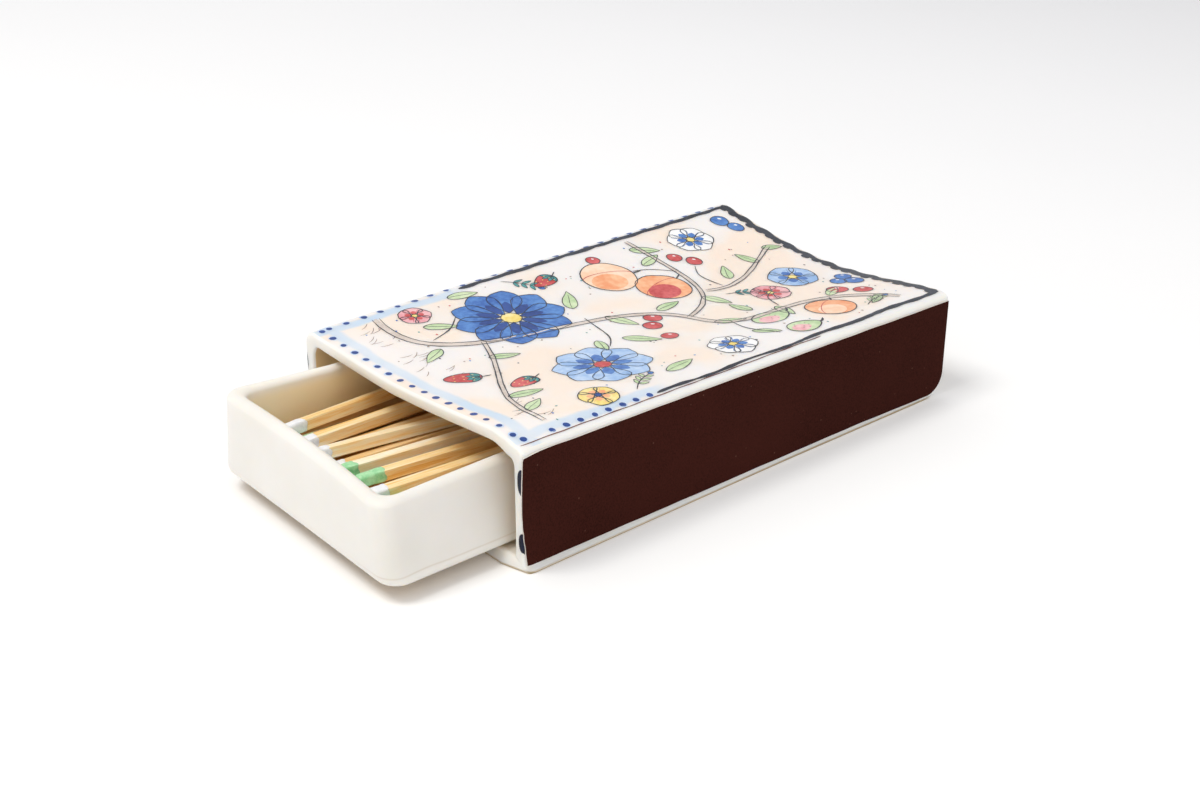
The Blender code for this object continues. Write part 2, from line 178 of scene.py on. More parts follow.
# How finely the skins are divided here
ROOF_STEPS = 72
FLOOR_STEPS = 12
SIDE_STEPS = 12
EDGE_STEPS = 8
LENGTH_STEPS = 88
LIP_STEPS = 10
TRAY_CORNER_STEPS = 10
TRAY_SIDE_STEPS = 44
TRAY_END_STEPS = 26
RIM_STEPS = 14
WALL_STEPS = 5
FILLET_STEPS = 6
STRIP_STEPS = 60
STRIP_NEAR_STEPS = 40
STRIP_ARC_STEPS = 12
STRIP_END_STEPS = 10
BARE_WOOD_STEPS = 25
HEAD_STEPS = 22
HEAD_SIDES = 36

HALF_LENGTH = SLEEVE_LENGTH / 2
HALF_WIDTH = SLEEVE_WIDTH / 2
HALF_BORE = HALF_WIDTH - SLEEVE_WALL
HALF_BASE = HALF_WIDTH - SLEEVE_WALL - TRAY_SIDE_GAP
TRAY_LENGTH = SLEEVE_LENGTH - TRAY_SHORTER_BY
TRAY_BOTTOM = SLEEVE_WALL + SLIDE_GAP
TRAY_FLOOR_TOP = TRAY_BOTTOM + TRAY_FLOOR
TRAY_RIM = TRAY_BOTTOM + TRAY_HEIGHT
TRAY_NEAR = -HALF_LENGTH - TRAY_PULLED_OUT
TRAY_FAR = TRAY_NEAR + TRAY_LENGTH

# Places in the finishes
PRINT_FADES = (0.0322, 0.0331)
BAND_CENTRES = (("Y", -0.0539), ("X", -0.0313), ("X", 0.0314))
BAND_WAVER = 0.0022
BAND_HALF = (0.0007, 0.0018)
BAND_ENDS = (-0.0235, -0.0195)
SEAM_HEIGHT = 0.0051
SEAM_WAVER = -0.0009
SEAM_HALF = (0.00004, 0.00026)
SEAM_SHOWS_FROM = (0.016, 0.027)
UNGLAZED_FOOT_AND_CONTACT_SHADOW = (0.00025, 0.0006)

# Print: each colour deep and pale with its grain in mm, and the lift in mm of what lies over what
PRINT_COLOURS = {
    "ink": ("#23262f", "#3f434c", 0.5),
    "black": ("#20232c", "#3a3f4a", 0.7),
    "navy": ("#1c3a7c", "#2f5199", 0.8),
    # The lip dots' colour is a darker copy of navy: painted shade, for dots that sit in the mouth's shade
    "lip_navy": ("#050a1a", "#0c1733", 0.8),
    "cobalt": ("#3562ad", "#5d8fd0", 1.0),
    "sky": ("#8fb4e2", "#c3d8f2", 1.2),
    "dot_halo": ("#b9d0ee", "#d9e5f5", 1.0),
    "red": ("#b83a3a", "#d9696a", 0.9),
    "rose": ("#e59aa4", "#f3c8c9", 1.2),
    "orange": ("#ee9a6b", "#f8c49a", 1.3),
    "peach": ("#f6c9a6", "#fbe0c8", 1.4),
    "yellow": ("#ecd06a", "#f7e9a8", 0.9),
    "teal": ("#2f7d83", "#63aaa6", 0.9),
    "pale_green": ("#b4cf9d", "#d8e6bf", 1.0),
    "brown": ("#8d7468", "#b19c90", 0.5),
    "twig": ("#cbbdb2", "#e4d9d0", 0.7),
    "maroon": ("#5a332f", "#7d5148", 0.5),
    "porcelain_white": ("#f1f0ef", "#fafafa", 1.5),
}
LIFT = {"wash": 0.016, "fill": 0.026, "shade": 0.036, "detail": 0.046, "ink": 0.056}
# Points and faces of the print, gathered by colour
SHEETS = {}

# Lip dots: height of the middle and length, both in mm, side of the mouth, and reach in mm
LIP_SPOTS = ((18.7, 6.0, 1, 2.3), (6.25, 4.5, 1, 2.15), (17.9, 4.4, -1, 1.45))
LIP_SPOT_LIFT = 0.025
LIP_AIM_OFF = 0.0005
LIP_SPOT_STEPS = 14

# Studio: each lamp's place, size, energy and tint, then the paper sweep and the camera, turns in degrees
LAMPS = (
    ("key", (-0.10, -0.48, 0.94), 0.40, 5.1, "#fffdf8"),
    ("fill", (0.75, -0.15, 0.70), 0.50, 1.2, "#fffdf8"),
)
LAMPS_AIM_AT = (0, -0.02, 0)
ROOM_LIGHT = 0.645
SWEEP_REACH = 2.2
SWEEP_BACK = 1.6
SWEEP_BEND = 0.6
SWEEP_RISE = 1.5
SWEEP_BEND_STEPS = 24
SWEEP_TURN = 49
PAPER_PAINTED_SHADE_OVER = (0.05, 0.60)
PAPER_GLOWS_OVER = (0.60, 1.60)
CAMERA_AT = (0.266143, -0.239790, 0.180580)
CAMERA_TURN = (63.68787, -0.27204, 49.28618)
CAMERA_LENS = 56.696


def mix(a, b, share):
    return a + (b - a) * share


def clamped(share):
    return min(1, max(0, share))


def smooth(share):
    """A share eased at both ends."""
    return share * share * (3 - 2 * share)


def evenly(start, end, steps):
    """The values at the ends of so many equal steps, with the start and the end."""
    return [mix(start, end, i / steps) for i in range(steps + 1)]


def turned(x, y, angle):
    """A point turned about the origin by an angle in radians."""
    c, s = math.cos(angle), math.sin(angle)
    return x * c - y * s, x * s + y * c


# Finishes


def linear(colour):
    """An sRGB hex colour as linear RGBA."""
    parts = [int(colour[i : i + 2], 16) / 255 for i in (1, 3, 5)]
    return (*[c / 12.92 if c <= 0.04045 else ((c + 0.055) / 1.055) ** 2.4 for c in parts], 1.0)


def per(millimetres):
    """Texture scale whose features repeat about every so many millimetres."""
    return 1 / (millimetres * MM)


def feed(target, name, value):
    """Fills a node's input with a value, with a socket, or with another node's first live output."""
    if isinstance(value, bpy.types.Node):
        value = next(output for output in value.outputs if output.enabled)
    if isinstance(value, bpy.types.NodeSocket):
        target.id_data.links.new(value, target.inputs[name])
    else:
        target.inputs[name].default_value = value


def node(tree, kind, links=(), stops=(), **settings):
    """Adds a node: settings are its own, links fill its inputs by name or in order, stops its ramp."""
    made = tree.nodes.new(kind)
    for name, value in settings.items():
        setattr(made, name, value)
    for name, value in links.items() if isinstance(links, dict) else enumerate(links):
        feed(made, name, value)
    if stops:
        ramp = made.color_ramp.elements
        ramp[0].position, ramp[0].color = stops[0][0], linear(stops[0][1])
        ramp[1].position, ramp[1].color = stops[-1][0], linear(stops[-1][1])
        for place, colour in stops[1:-1]:
            ramp.new(place).color = linear(colour)
    return made


def new_finish(name, **sockets):
    """A named material, a way to add nodes to it, its Principled shader and its object coordinates."""
    finish = bpy.data.materials.new(name)
    finish.use_nodes = True
    shader = finish.node_tree.nodes["Principled BSDF"]
    for key, value in sockets.items():
        shader.inputs[key.replace("_", " ")].default_value = value
    add = partial(node, finish.node_tree)
    return finish, add, shader, add("ShaderNodeTexCoord").outputs["Object"]


def glazed_porcelain(name, ground, pooled, foot=None, washes=None, seam=None, inside=None, milky=0.7):
    """Cast porcelain, hand-smoothed, under a thin satin glaze: milky, with soft waves and faint clouds."""
    finish, add, shader, place = new_finish(
        name, Roughness=0.42, IOR=1.5, Specular_IOR_Level=0.32,
        Subsurface_Weight=milky, Subsurface_Scale=0.0022, Subsurface_Radius=(1.0, 0.86, 0.68),
    )
    cloud, wave, peel = [
        add("ShaderNodeTexNoise", {"Vector": place, "Scale": per(size), "Detail": detail})
        for size, detail in ((16, 3.0), (7, 2.0), (0.9, 2.0))
    ]
    axes = add("ShaderNodeSeparateXYZ", (place,)).outputs
    layers = printed_washes(add, place, axes, washes) if washes else []
    if foot:
        # The foot band is the unglazed foot on the sleeve; on the tray it is painted contact shadow along the
        # bottom edge
        unglazed_foot_and_contact_shadow, ground_level = foot
        low, high = [ground_level + edge for edge in UNGLAZED_FOOT_AND_CONTACT_SHADOW]
        layers.append((add("ShaderNodeMapRange", (axes["Z"], low, high, 1.0, 0.0)), unglazed_foot_and_contact_shadow))
    if inside:
        # The inside tint, set by height, is painted warm bounce light and shade on the inner faces
        painted_warm_bounce_and_shade, none_at, full_at = inside
        depth = add("ShaderNodeMapRange", (axes["Z"], none_at, full_at), interpolation_type="SMOOTHSTEP")
        layers.append((depth, painted_warm_bounce_and_shade))
    if seam:
        layers.append((mould_seam(add, place, axes), seam))
    colour = add("ShaderNodeValToRGB", (cloud,), stops=((0.38, ground), (0.68, pooled)))
    for share, tint in layers:
        colour = add("ShaderNodeMix", {"Factor": share, "A": colour, "B": linear(tint)}, data_type="RGBA")
    feed(shader, "Base Color", colour)
    soft = add("ShaderNodeBump", {"Height": wave, "Strength": 0.35, "Distance": 0.0004})
    fine = add("ShaderNodeBump", {"Height": peel, "Strength": 0.12, "Distance": 0.00006, "Normal": soft})
    feed(shader, "Normal", fine)
    return finish


def mould_seam(add, place, axes):
    """Where the faint line of the mould's seam shows low on the tray's walls, most on its right side."""
    waver = add("ShaderNodeTexNoise", {"Vector": place, "Scale": per(14), "Detail": 1.0})
    height = add("ShaderNodeMath", (waver, SEAM_WAVER, axes["Z"]), operation="MULTIPLY_ADD")
    off = add("ShaderNodeMath", (height, SEAM_HEIGHT), operation="SUBTRACT")
    away = add("ShaderNodeMath", (off,), operation="ABSOLUTE")
    mark = add("ShaderNodeMapRange", (away, *SEAM_HALF, 0.5, 0.0))
    right = add("ShaderNodeMapRange", (axes["X"], *SEAM_SHOWS_FROM, 0.15, 0.8))
    return add("ShaderNodeMath", (mark, right), operation="MULTIPLY")


def printed_washes(add, place, axes, washes):
    """The roof's pale washes of colour: clouds inside its edges, and a broken band beside them."""
    cloud_colour, second_colour, band_colour = washes
    spread, waver = [
        add("ShaderNodeTexNoise", {"Vector": place, "Scale": per(size), "Detail": detail})
        for size, detail in ((26, 2.5), (11, 2.0))
    ]
    beside = add("ShaderNodeMath", (axes["X"],), operation="ABSOLUTE")
    inner = add("ShaderNodeMapRange", (beside, *PRINT_FADES, 1.0, 0.0))
    layers = []
    for low, high, strength, wash in ((0.44, 0.58, 0.85, cloud_colour), (0.56, 0.40, 0.55, second_colour)):
        patch = add("ShaderNodeMapRange", (spread, low, high, 0.0, strength))
        layers.append((add("ShaderNodeMath", (patch, inner), operation="MULTIPLY"), wash))
    bands = []
    for axis, centre in BAND_CENTRES:
        moved = add("ShaderNodeMath", (waver, BAND_WAVER, axes[axis]), operation="MULTIPLY_ADD")
        off = add("ShaderNodeMath", (moved, centre + BAND_WAVER / 2), operation="SUBTRACT")
        away = add("ShaderNodeMath", (off,), operation="ABSOLUTE")
        reach = (away, *BAND_HALF, 1.0, 0.0)
        bands.append(add("ShaderNodeMapRange", reach, interpolation_type="SMOOTHSTEP"))
    sides = add("ShaderNodeMath", bands[1:], operation="MAXIMUM")
    band = add("ShaderNodeMath", (bands[0], sides), operation="MAXIMUM")
    for cover in ((spread, 0.34, 0.60, 0.30, 0.85), (axes["Y"], *BAND_ENDS, 1.0, 0.0)):
        band = add("ShaderNodeMath", (band, add("ShaderNodeMapRange", cover)), operation="MULTIPLY")
    return [*layers, (band, band_colour)]


def grained(name, deep, pale, grain_mm):
    """Two tones in uneven grains over wider pools, with a satin surface."""
    finish, add, shader, place = new_finish(name, Roughness=0.42, IOR=1.5, Specular_IOR_Level=0.25)
    pool, grain = [
        add("ShaderNodeTexNoise", {"Vector": place, "Scale": per(size), "Detail": detail})
        for size, detail in ((4.5, 2.0), (grain_mm, 4.0))
    ]
    both = add("ShaderNodeMix", {"Factor": 0.45, "A": pool, "B": grain})
    feed(shader, "Base Color", add("ShaderNodeValToRGB", (both,), stops=((0.38, deep), (0.64, pale))))
    return finish


def ceramic_colour(name, deep, pale, grain_mm):
    """Ceramic colour under the glaze: it settles in uneven grains, darker where the brush was wet."""
    return grained(name, deep, pale, grain_mm)


def cut_paper(name, deep, pale):
    """The cut edge of coated paper: pale, with short fibres that take the light unevenly."""
    return grained(name, deep, pale, 0.3)


def striking_paper(name, deep, ground, worn, fleck):
    """Paper coated with a dark abrasive: dead matt, with fine grit and a few paler flecks."""
    finish, add, shader, place = new_finish(name, Roughness=0.9, IOR=1.45, Specular_IOR_Level=0.05)
    # Real grit is about 0.1 mm wide, too fine to show, so it is drawn 0.35 mm wide
    tone, grit = [
        add("ShaderNodeTexNoise", {"Vector": place, "Scale": per(size), "Detail": 3.0}) for size in (22, 0.35)
    ]
    both = add("ShaderNodeMix", {"Factor": 0.7, "A": tone, "B": grit})
    coat = add("ShaderNodeValToRGB", (both,), stops=((0.36, deep), (0.52, ground), (0.66, worn)))
    spots = add("ShaderNodeTexVoronoi", {"Vector": place, "Scale": per(3.2)})
    near_spot = add("ShaderNodeMapRange", (spots, 0.03, 0.07, 0.6, 0.0))
    flecked = add("ShaderNodeMix", {"Factor": near_spot, "A": coat, "B": linear(fleck)}, data_type="RGBA")
    feed(shader, "Base Color", flecked)
    feed(shader, "Normal", add("ShaderNodeBump", {"Height": grit, "Strength": 0.35, "Distance": 0.00006}))
    return finish


def aspen_splint(name, *tones):
    """Aspen cut into square splints and waxed: honey, with long fine fibres and a few darker streaks."""
    finish, add, shader, place = new_finish(
        name, Roughness=0.55, IOR=1.45, Subsurface_Weight=0.15, Subsurface_Scale=0.0011,
        Subsurface_Radius=(1.0, 0.55, 0.22),
    )
    own = add("ShaderNodeObjectInfo").outputs["Random"]
    along = add("ShaderNodeMapping", {"Vector": place, "Scale": (1.0, 0.045, 1.0)})
    seed = add("ShaderNodeMath", (own, 90.0), operation="MULTIPLY")
    # Real fibres are about 0.02 mm wide, too fine to show, so they are drawn 0.22 mm wide
    broad, fibre = [
        add(
            "ShaderNodeTexNoise", {"Vector": along, "W": seed, "Scale": per(size), "Detail": detail},
            noise_dimensions="4D",
        )
        for size, detail in ((1.1, 3.0), (0.22, 4.0))
    ]
    both = add("ShaderNodeMix", {"Factor": 0.42, "A": broad, "B": fibre})
    shifted = add("ShaderNodeMath", (own, 0.20, both), operation="MULTIPLY_ADD")
    stops = tuple(zip((0.36, 0.49, 0.60, 0.74), tones))
    feed(shader, "Base Color", add("ShaderNodeValToRGB", (shifted,), stops=stops))
    feed(shader, "Normal", add("ShaderNodeBump", {"Height": both, "Strength": 0.55, "Distance": 0.00012}))
    return finish


def match_composition(name, deep, pale):
    """Dried match composition: a matt, slightly lumpy dip with pin-holes."""
    finish, add, shader, place = new_finish(
        name, Roughness=0.62, IOR=1.45, Subsurface_Weight=0.35, Subsurface_Scale=0.0010,
        Subsurface_Radius=(1.0, 1.0, 1.0),
    )
    lumps = add("ShaderNodeTexNoise", {"Vector": place, "Scale": per(0.8), "Detail": 4.0})
    dip = add("ShaderNodeValToRGB", (lumps,), stops=((0.34, deep), (0.62, pale)))
    pits = add("ShaderNodeTexVoronoi", {"Vector": place, "Scale": per(1.1)})
    in_pit = add("ShaderNodeMapRange", (pits, 0.06, 0.14, 0.35, 0.0))
    pitted = add("ShaderNodeMix", {"Factor": in_pit, "A": dip, "B": linear(deep)}, data_type="RGBA")
    feed(shader, "Base Color", pitted)
    feed(shader, "Normal", add("ShaderNodeBump", {"Height": lumps, "Strength": 0.6, "Distance": 0.00012}))
    return finish


# Meshes


def mesh_piece(name, points, faces, *finishes):
    """An object from points and faces in the frame's metres, smooth but for its real edges."""
    mesh = bpy.data.meshes.new(name)
    mesh.from_pydata([tuple(p) for p in points], [], faces)
    mesh.validate()
    mesh.update()
    for finish in finishes:
        mesh.materials.append(finish)
    mesh.shade_smooth()
    mesh.set_sharp_from_angle(angle=math.radians(50))
    made = bpy.data.objects.new(name, mesh)
    bpy.context.scene.collection.objects.link(made)
    return made


def ring_faces(rows, columns, around_again):
    """Faces through rings of points, joined last to first or capped at both ends."""
    faces = []
    for r in range(rows if around_again else rows - 1):
        low, high = r * columns, (r + 1) % rows * columns
        for i in range(columns):
            j = (i + 1) % columns
            faces.append((low + i, low + j, high + j, high + i))
    if not around_again:
        faces.append(tuple(range(columns))[::-1])
        faces.append(tuple(range((rows - 1) * columns, rows * columns)))
    return faces


def outward(piece):
    """Turns a closed piece's faces to face out."""
    shell = bmesh.new()
    shell.from_mesh(piece.data)
    bmesh.ops.recalc_face_normals(shell, faces=shell.faces)
    shell.to_mesh(piece.data)
    shell.free()
    return piece


# Sleeve: a share runs from 0 at the mouth to 1 at the far end, and a side is 1 right or -1 left


def roof_sag(x, share):
    deepest = mix(ROOF_SAG_AT_MOUTH, ROOF_SAG_AT_FAR_END, share)
    across = min(1, abs(x) / HALF_WIDTH)
    return deepest * (1 - across**2) ** (RIGHT_SAG_POWER if x > 0 else LEFT_SAG_POWER)


def shoulder(x, share):
    across = x / HALF_WIDTH
    rise = (across - SHOULDER_STARTS_SHARE) / (SHOULDER_PEAK_SHARE - SHOULDER_STARTS_SHARE)
    fall = (1 - across) / (1 - SHOULDER_PEAK_SHARE)
    return SHOULDER_RISE * (1 - share) * max(0, min(rise, math.sin(math.pi / 2 * min(1, fall))))


def roof(x, share):
    edge = SLEEVE_HEIGHT - FAR_RIGHT_DROP * share * (1 + x / HALF_WIDTH) / 2
    return edge - roof_sag(x, share) + shoulder(x, share)


def edge_round_down(x, share):
    """The long edge is rounder at the mouth's left corner."""
    if x > 0:
        return LONG_EDGE_ROUND_DOWN
    return mix(MOUTH_LEFT_ROUND_DOWN, LONG_EDGE_ROUND_DOWN, min(1, share / MOUTH_LEFT_ROUND_SHARE))


def half_roof(edge, share, depth):
    return [(x, roof(x, share) - depth) for x in evenly(0, edge, ROOF_STEPS // 2)[:-1]]


def top_corner(side, flat, top, across, down):
    """The quarter round from the end of the flat, at its height, to the upright side."""
    turns = evenly(0, math.pi / 2, EDGE_STEPS)[:-1]
    return [(side * (flat + across * math.sin(t)), top - down * (1 - math.cos(t))) for t in turns]


def upright(x, high, low):
    return [(x, z) for z in evenly(high, low, SIDE_STEPS)[:-1]]


def half_floor(edge, z):
    return [(x, z) for x in evenly(edge, 0, FLOOR_STEPS // 2)[1:]]


def outer_half_section(side, share):
    flat = HALF_WIDTH - LONG_EDGE_ROUND_ACROSS
    top, down = roof(side * flat, share), edge_round_down(side, share)
    points = half_roof(side * flat, share, 0)
    points += top_corner(side, flat, top, LONG_EDGE_ROUND_ACROSS, down)
    points += upright(side * HALF_WIDTH, top - down, FOOT_HEIGHT)
    flare = FOOT_FLARE * max(0, 1 - share / FLARE_ENDS_SHARE)
    for out_share, up_share in FOOT_SHARES:
        points.append((side * (HALF_WIDTH + flare * out_share), FOOT_HEIGHT * up_share))
    return points + half_floor(points[-1][0], 0.0)


def lip_thickening(x, share):
    """The mouth's lip grows thicker toward its right corner."""
    across = clamped((x - THICK_LIP_STARTS) / (THICK_LIP_FULL - THICK_LIP_STARTS))
    return THICK_LIP_EXTRA * smooth(across) * max(0, 1 - share / THICK_LIP_ENDS_SHARE)


def inner_half_section(side, share):
    round_across = RIGHT_BORE_ROUND_ACROSS if side > 0 else BORE_ROUND_ACROSS
    round_down = RIGHT_BORE_ROUND_DOWN if side > 0 else BORE_ROUND_DOWN
    flat = HALF_BORE - round_across
    points = [(x, z - lip_thickening(x, share)) for x, z in half_roof(side * flat, share, SLEEVE_WALL)]
    top = roof(side * flat, share) - SLEEVE_WALL - lip_thickening(side * flat, share)
    points += top_corner(side, flat, top, round_across, round_down)
    points += upright(side * HALF_BORE, top - round_down, SLEEVE_WALL + BORE_FOOT_ROUND)
    floor_edge = HALF_BORE - BORE_FOOT_ROUND
    for turn in evenly(0, math.pi / 2, len(FOOT_SHARES) - 1):
        across = floor_edge + BORE_FOOT_ROUND * math.cos(turn)
        points.append((side * across, SLEEVE_WALL + BORE_FOOT_ROUND * (1 - math.sin(turn))))
    return points + half_floor(side * floor_edge, SLEEVE_WALL)


def far_end(z):
    """The far end's plane, rounded under at its foot."""
    below = max(0, FAR_FOOT_ROUND - z)
    return HALF_LENGTH - FAR_FOOT_ROUND + math.sqrt(FAR_FOOT_ROUND**2 - below**2)


def mouth_end(x, z):
    """The mouth's plane, flared along its foot and rounded off at the foot's two corners."""
    low = max(0, 1 - z / FOOT_HEIGHT)
    inward = min(1, (HALF_WIDTH + FOOT_FLARE - abs(x)) / MOUTH_FLARE_FADE)
    past = min(MOUTH_FOOT_CORNER, max(0, abs(x) - (HALF_WIDTH + FOOT_FLARE - MOUTH_FOOT_CORNER)))
    cut = MOUTH_FOOT_CORNER - math.sqrt(MOUTH_FOOT_CORNER**2 - past**2)
    low_cut = max(0, 1 - z / (2 * FOOT_HEIGHT))
    return -HALF_LENGTH - MOUTH_FOOT_FLARE * low * inward + cut * low_cut


def skin_ring(half_section, share):
    """One ring of a skin at a share of the length, right half first."""
    right, left = half_section(1, share), half_section(-1, share)
    ring = []
    for x, z in right + left[-2:0:-1]:
        y = mix(mouth_end(x, z) + LIP_ROUND, far_end(z) - LIP_ROUND, share)
        ring.append(Vector((x, y, z)))
    return ring


def lip_rings(outer, inner, toward):
    """The rings of the round lip that joins the ends of the outer and the inner skin."""
    rings = []
    for turn in evenly(0, math.pi, LIP_STEPS)[1:-1]:
        ahead = Vector((0, toward * LIP_ROUND * math.sin(turn), 0))
        inset = LIP_ROUND * (1 - abs(math.cos(turn)))
        ring = []
        for pair in zip(outer, inner):
            start, end = pair if math.cos(turn) > 0 else pair[::-1]
            ring.append(start + (end - start).normalized() * inset + ahead)
        rings.append(ring)
    return rings


def make_sleeve(plain, printed, painted_shade):
    """The sleeve as one run of rings: outer skin, far lip, bore and mouth lip."""
    shares = evenly(0, 1, LENGTH_STEPS)
    outer = [skin_ring(outer_half_section, share) for share in shares]
    inner = [skin_ring(inner_half_section, share) for share in shares]
    rings = outer + lip_rings(outer[-1], inner[-1], 1) + inner[::-1]
    rings += lip_rings(outer[0], inner[0], -1)[::-1]
    points = [Vector((p.x, min(p.y, cad_box[1].y), p.z)) for ring in rings for p in ring]
    columns = len(outer[0])
    faces = ring_faces(len(rings), columns, True)
    piece = outward(mesh_piece("porcelain_sleeve", points, faces, plain, printed, painted_shade))
    roof_edge = HALF_WIDTH - LONG_EDGE_ROUND_ACROSS / 4
    skin = LENGTH_STEPS * columns
    bore_first = skin + LIP_STEPS * columns
    for face in piece.data.polygons:
        if bore_first <= face.index < bore_first + skin:
            # The bore's faces take the finish with painted warm shade
            face.material_index = 2
        elif face.index < skin and face.center.z > PRINT_STARTS_ABOVE and abs(face.center.x) < roof_edge:
            face.material_index = 1
    return piece


# Tray


def rounded_outline(low_x, high_x, low_y, high_y, radius):
    corners = (
        (high_x - radius, low_y + radius, -90), (high_x - radius, high_y - radius, 0),
        (low_x + radius, high_y - radius, 90), (low_x + radius, low_y + radius, 180),
    )
    steps = (TRAY_SIDE_STEPS, TRAY_END_STEPS, TRAY_SIDE_STEPS, TRAY_END_STEPS)
    arcs = []
    for centre_x, centre_y, start in corners:
        turns = [math.radians(angle) for angle in evenly(start, start + 90, TRAY_CORNER_STEPS)]
        arcs.append([(centre_x + radius * math.cos(t), centre_y + radius * math.sin(t)) for t in turns])
    points = []
    for arc, ahead, count in zip(arcs, arcs[1:] + arcs[:1], steps):
        xs, ys = [evenly(start, end, count)[1:-1] for start, end in zip(arc[-1], ahead[0])]
        points += arc + list(zip(xs, ys))
    return points


def hand_set(x, y, z):
    """A point of the straight tray, moved as the potter's hand left it."""
    up = clamped((z - TRAY_BOTTOM) / TRAY_HEIGHT)
    nearness = clamped(1 - (y - TRAY_NEAR) / (TRAY_LENGTH / 2))
    skew = mix(END_SKEW_SHARE, RIM_SKEW_SHARE, up) * nearness
    bow = RIM_END_BOW * up * nearness * (1 - (x / HALF_BASE) ** 2)
    splay = max(0, 1 - (y - TRAY_NEAR) / LEFT_SPLAY_LENGTH) * max(0, -x / HALF_BASE)
    along = 2 * (y - TRAY_NEAR) / TRAY_LENGTH - 1
    pinch = RIM_SIDE_BOW * up * max(0, 1 - along**2)
    moved_x = x * (1 - pinch / HALF_BASE) - LEFT_CORNER_SPLAY * splay * up**SPLAY_POWER
    share = clamped((y + TRAY_PULLED_OUT + HALF_LENGTH) / SLEEVE_LENGTH)
    rim = min(TRAY_RIM, roof(x, share) - SLEEVE_WALL - CLOSED_RIM_GAP)
    if z > TRAY_FLOOR_TOP:
        z = mix(TRAY_FLOOR_TOP, rim, (z - TRAY_FLOOR_TOP) / (TRAY_RIM - TRAY_FLOOR_TOP))
    return Vector((moved_x, y - skew * x + bow, z))


def tray_ring(inset, z, radius):
    up = clamped((z - TRAY_BOTTOM) / TRAY_HEIGHT)
    side = HALF_BASE - inset - SIDE_LEAN * up
    end_inset = inset * TRAY_END_WALL / TRAY_WALL
    near = TRAY_NEAR + end_inset + END_LEAN * up
    far = TRAY_FAR - end_inset - END_LEAN * up
    return [hand_set(x, y, z) for x, y in rounded_outline(-side, side, near, far, radius)]


def make_tray(finish, inner_finish):
    """The drawer as one run of rings: base edge, outer wall, rim, inner wall and floor fillet."""
    rim_round = TRAY_WALL / 2
    rim_starts = TRAY_RIM - rim_round
    fillet_top = TRAY_FLOOR_TOP + FLOOR_FILLET
    quarter = evenly(0, math.pi / 2, FILLET_STEPS)
    rings = []
    for turn in quarter:
        inset = BASE_EDGE_ROUND * (1 - math.sin(turn))
        z = TRAY_BOTTOM + BASE_EDGE_ROUND * (1 - math.cos(turn))
        rings.append(tray_ring(inset, z, CORNER_ROUND - inset / 2))
    for z in evenly(TRAY_BOTTOM + BASE_EDGE_ROUND, rim_starts, WALL_STEPS)[1:-1]:
        rings.append(tray_ring(0.0, z, CORNER_ROUND))
    for turn in evenly(0, math.pi, RIM_STEPS):
        inset = rim_round * (1 - math.cos(turn))
        z = rim_starts + rim_round * math.sin(turn)
        rings.append(tray_ring(inset, z, mix(CORNER_ROUND, INNER_CORNER_ROUND, inset / TRAY_WALL)))
    for z in evenly(rim_starts, fillet_top, WALL_STEPS)[1:-1]:
        rings.append(tray_ring(TRAY_WALL, z, INNER_CORNER_ROUND))
    for turn in quarter:
        inset = FLOOR_FILLET * (1 - math.cos(turn))
        z = fillet_top - FLOOR_FILLET * math.sin(turn)
        rings.append(tray_ring(TRAY_WALL + inset, z, INNER_CORNER_ROUND - inset))
    points = [Vector((p.x, max(p.y, cad_box[0].y), p.z)) for ring in rings for p in ring]
    columns = len(rings[0])
    faces = ring_faces(len(rings), columns, False)
    piece = outward(mesh_piece("porcelain_tray", points, faces, finish, inner_finish))
    first_inner = (FILLET_STEPS + WALL_STEPS + RIM_STEPS // 2) * columns
    underside = len(faces) - 2
    for face in piece.data.polygons:
        # The inner faces take the finish with painted warm bounce light
        if face.index >= first_inner and face.index != underside:
            face.material_index = 1
    return piece


# Striking strips


def strip_near_edge(z):
    """How far the hand-cut near edge stands back from straight, at a height."""
    for low, high in zip(STRIP_NEAR_EDGE, STRIP_NEAR_EDGE[1:]):
        if z <= high[0]:
            break
    share = clamped((z - low[0]) / (high[0] - low[0]))
    return mix(low[1], high[1], smooth(share)) * MM


def strip_outline(set_back):
    """(y, z) in metres round the strip, its cut edges a little uneven."""
    near, far = -HALF_LENGTH + STRIP_NEAR_MARGIN + set_back, HALF_LENGTH - STRIP_FAR_MARGIN
    round_by = FAR_FOOT_ROUND - STRIP_FAR_MARGIN
    points = [(near + strip_near_edge(STRIP_LOW), STRIP_LOW)]
    for y in evenly(near, far - round_by, STRIP_STEPS)[1:-1]:
        dips = max(0, (y - STRIP_DIPS_FROM) / STRIP_DIPS_OVER)
        points.append((y, mix(STRIP_LOW - STRIP_LOW_DIP, STRIP_FAR_LOW, dips)))
    centre_y, centre_z = far - round_by, STRIP_FAR_LOW + round_by
    for turn in evenly(0, math.pi / 2, STRIP_ARC_STEPS):
        points.append((centre_y + round_by * math.sin(turn), centre_z - round_by * math.cos(turn)))
    points += [(far, z) for z in evenly(centre_z, STRIP_FAR_TOP, STRIP_END_STEPS)[1:-1]]
    corner = SLEEVE_HEIGHT - STRIP_TOP_MARGIN - set_back
    for y in evenly(far, near, STRIP_STEPS):
        bulge = STRIP_TOP_BULGE * min(1, (y - near) / BULGE_RISE) * min(1, (far - y) / BULGE_FALL)
        points.append((y, mix(corner, STRIP_FAR_TOP, (y - near) / (far - near)) + bulge))
    for z in evenly(corner, STRIP_LOW, STRIP_NEAR_STEPS)[1:-1]:
        nick = STRIP_NICK * noise.noise(Vector((5.0, 2.0, z / STRIP_NICK_LENGTH)))
        points.append((near + strip_near_edge(z) + nick, z))
    size = STRIP_WAVER_LENGTH
    return [(y, z + STRIP_WAVER * noise.noise(Vector((y / size, z / size, 3.0)))) for y, z in points]


